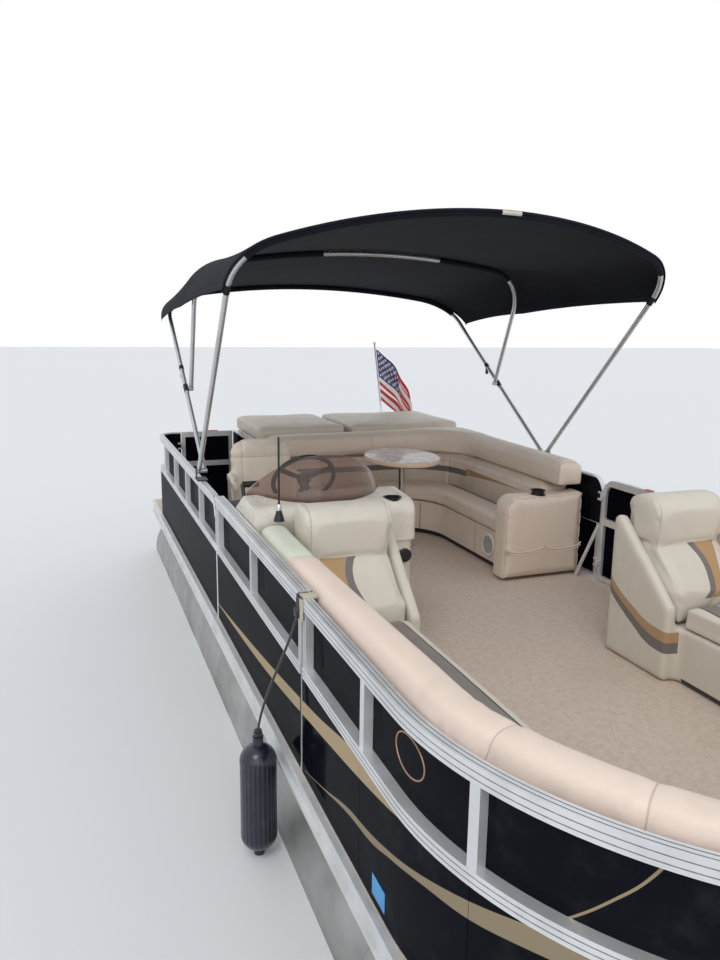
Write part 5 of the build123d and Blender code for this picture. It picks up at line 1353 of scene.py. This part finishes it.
SUN_VINYL = rgb(212, 201, 186)
CHAIR = rgb(212, 200, 184)
LOUNGE_BACK_BANDS = [
    (box_mask(high(0.466, 0.512), span(1.2, 1.97)), GREY),
    (curve_mask(Z, on_boat([(1.97, 0.478), (2.2, 0.494), (2.5, 0.510), (2.78, 0.517)]),
                on_boat([(1.97, 0.532), (2.2, 0.529), (2.5, 0.524), (2.78, 0.519)]), X, span(1.97, 2.78)),
     GOLD)]
LOUNGE_SEAT_BANDS = [(box_mask((Y, 0.870, 1.0), span(1.80, 3.1), high(0.372)), GREY),
                     (box_mask(span(1.45, 1.572), (Y, -0.6, 0.62), high(0.372)), GREY)]
POCKET_FACE = box_mask(span(3.165, 3.2), high(0.0, 0.206), (Y, 0.625, 1.205))
BOLSTER_SEAMS = ((6.000, -1.174), (6.345, -0.997))
PADS = [  # node, body, base colour, voxel, seams, bands
    ("lounge_seat", "boat", LOUNGE, 0.018, [xs(1.80, (Y, 0.60, 1.0)), ys(0.62, span(1.3, 1.8))],
     LOUNGE_SEAT_BANDS),
    ("lounge_back", "boat", LOUNGE, 0.020, [xs(2.05, (Y, 0.9, 1.3)), zs(0.555)], LOUNGE_BACK_BANDS),
    ("lounge_bolster", "boat", LOUNGE, 0.020, [xs(2.05, (Y, 0.9, 1.3)), xs(3.135), ys(0.30, span(1.3, 1.7))], []),
    ("lounge_arm", "boat", LOUNGE, 0.012, [xs(3.165)], [(POCKET_FACE, shaded(LOUNGE, 0.92))]),
    ("chair", "helm_chair", CHAIR, 0.0135, [ys(-0.965, high(0.5)), ys(-0.695, high(0.5)), zs(0.80)], []),
]
for side, sign in (("port", 1), ("starboard", -1)):
    PADS += [
        ("sun_pad_" + side, "sun_lid_" + side, SUN_VINYL, 0.018, [xs(0.93)], []),
        ("bow_lounge_seat_" + side, "boat", CREAM, 0.017, [ys(sign * 0.64, high(0.3))], seat_bands(side)),
        ("bow_lounge_back_" + side, "boat", CREAM, 0.012, [ys(sign * y, high(0.6)) for y in (0.655, 1.03)],
         back_bands(side)),
        ("side_bolster_" + side, "boat", PEACH, 0.020, [bend_seam(x, y, sign) for x, y in BOLSTER_SEAMS],
         [(box_mask(span(3.5, 4.4405)), GREENISH)] if side == "starboard" else []),
    ]
for node, body, shade, voxel, seams, bands in PADS:
    padded_piece(node, body, vinyl(node + "_vinyl", shade, seams, bands), voxel, seams,
                 SUN_RISE if shade is SUN_VINYL else PAD_RISE)


# Floor and light

floor_mesh = bpy.data.meshes.new("floor")
FLOOR = 60
corners = [(x * FLOOR, y * FLOOR, WATER) for x, y in ((-1, -1), (1, -1), (1, 1), (-1, 1))]
floor_mesh.from_pydata(corners, [], [(0, 1, 2, 3)])
floor = bpy.data.objects.new("floor", floor_mesh)
bpy.context.collection.objects.link(floor)


def floor_finish():
    material = bpy.data.materials.new("floor")
    material.use_nodes = True
    tree = material.node_tree
    shader = tree.nodes["Principled BSDF"]
    shader.inputs["Roughness"].default_value = 0.7
    noise = tree.nodes.new("ShaderNodeTexNoise")
    noise.inputs["Scale"].default_value = 0.6
    ramp = tree.nodes.new("ShaderNodeValToRGB")
    ramp.color_ramp.elements[0].color = rgb(218, 220, 222)
    ramp.color_ramp.elements[1].color = rgb(224, 226, 228)
    tree.links.new(noise.outputs[0], ramp.inputs[0])
    tree.links.new(ramp.outputs[0], shader.inputs["Base Color"])
    return material


floor_mesh.materials.append(floor_finish())

world = bpy.data.worlds.new("studio")
bpy.context.scene.world = world
world.use_nodes = True
tree = world.node_tree
sky = tree.nodes["Background"]
sky.inputs["Color"].default_value = (0.94, 0.97, 1.0, 1)
sky.inputs["Strength"].default_value = 0.86
plain = tree.nodes.new("ShaderNodeBackground")
plain.inputs["Color"].default_value = (1, 1, 1, 1)
plain.inputs["Strength"].default_value = 1.0
paths = tree.nodes.new("ShaderNodeLightPath")
seen = tree.nodes.new("ShaderNodeMath")
seen.operation = "MAXIMUM"
tree.links.new(paths.outputs["Is Camera Ray"], seen.inputs[0])
tree.links.new(paths.outputs["Is Transmission Ray"], seen.inputs[1])
choose = tree.nodes.new("ShaderNodeMixShader")
tree.links.new(seen.outputs[0], choose.inputs[0])
tree.links.new(sky.outputs[0], choose.inputs[1])
tree.links.new(plain.outputs[0], choose.inputs[2])
tree.links.new(choose.outputs[0], tree.nodes["World Output"].inputs[0])


def lamp(name, energy, angle, aim, colour):
    data = bpy.data.lights.new(name, "SUN")
    data.energy = energy
    data.angle = math.radians(angle)
    data.color = colour
    light = bpy.data.objects.new(name, data)
    bpy.context.collection.objects.link(light)
    light.rotation_euler = Vector(aim).to_track_quat("-Z", "Y").to_euler()


lamp("key", 0.7, 25, (-0.55, 0.45, -1.0), (1.0, 0.98, 0.95))
lamp("fill", 0.7, 60, (-0.85, 0.35, -0.22), (0.97, 0.98, 1.0))
bpy.context.scene.view_settings.view_transform = "Standard"

bpy.context.view_layer.update()
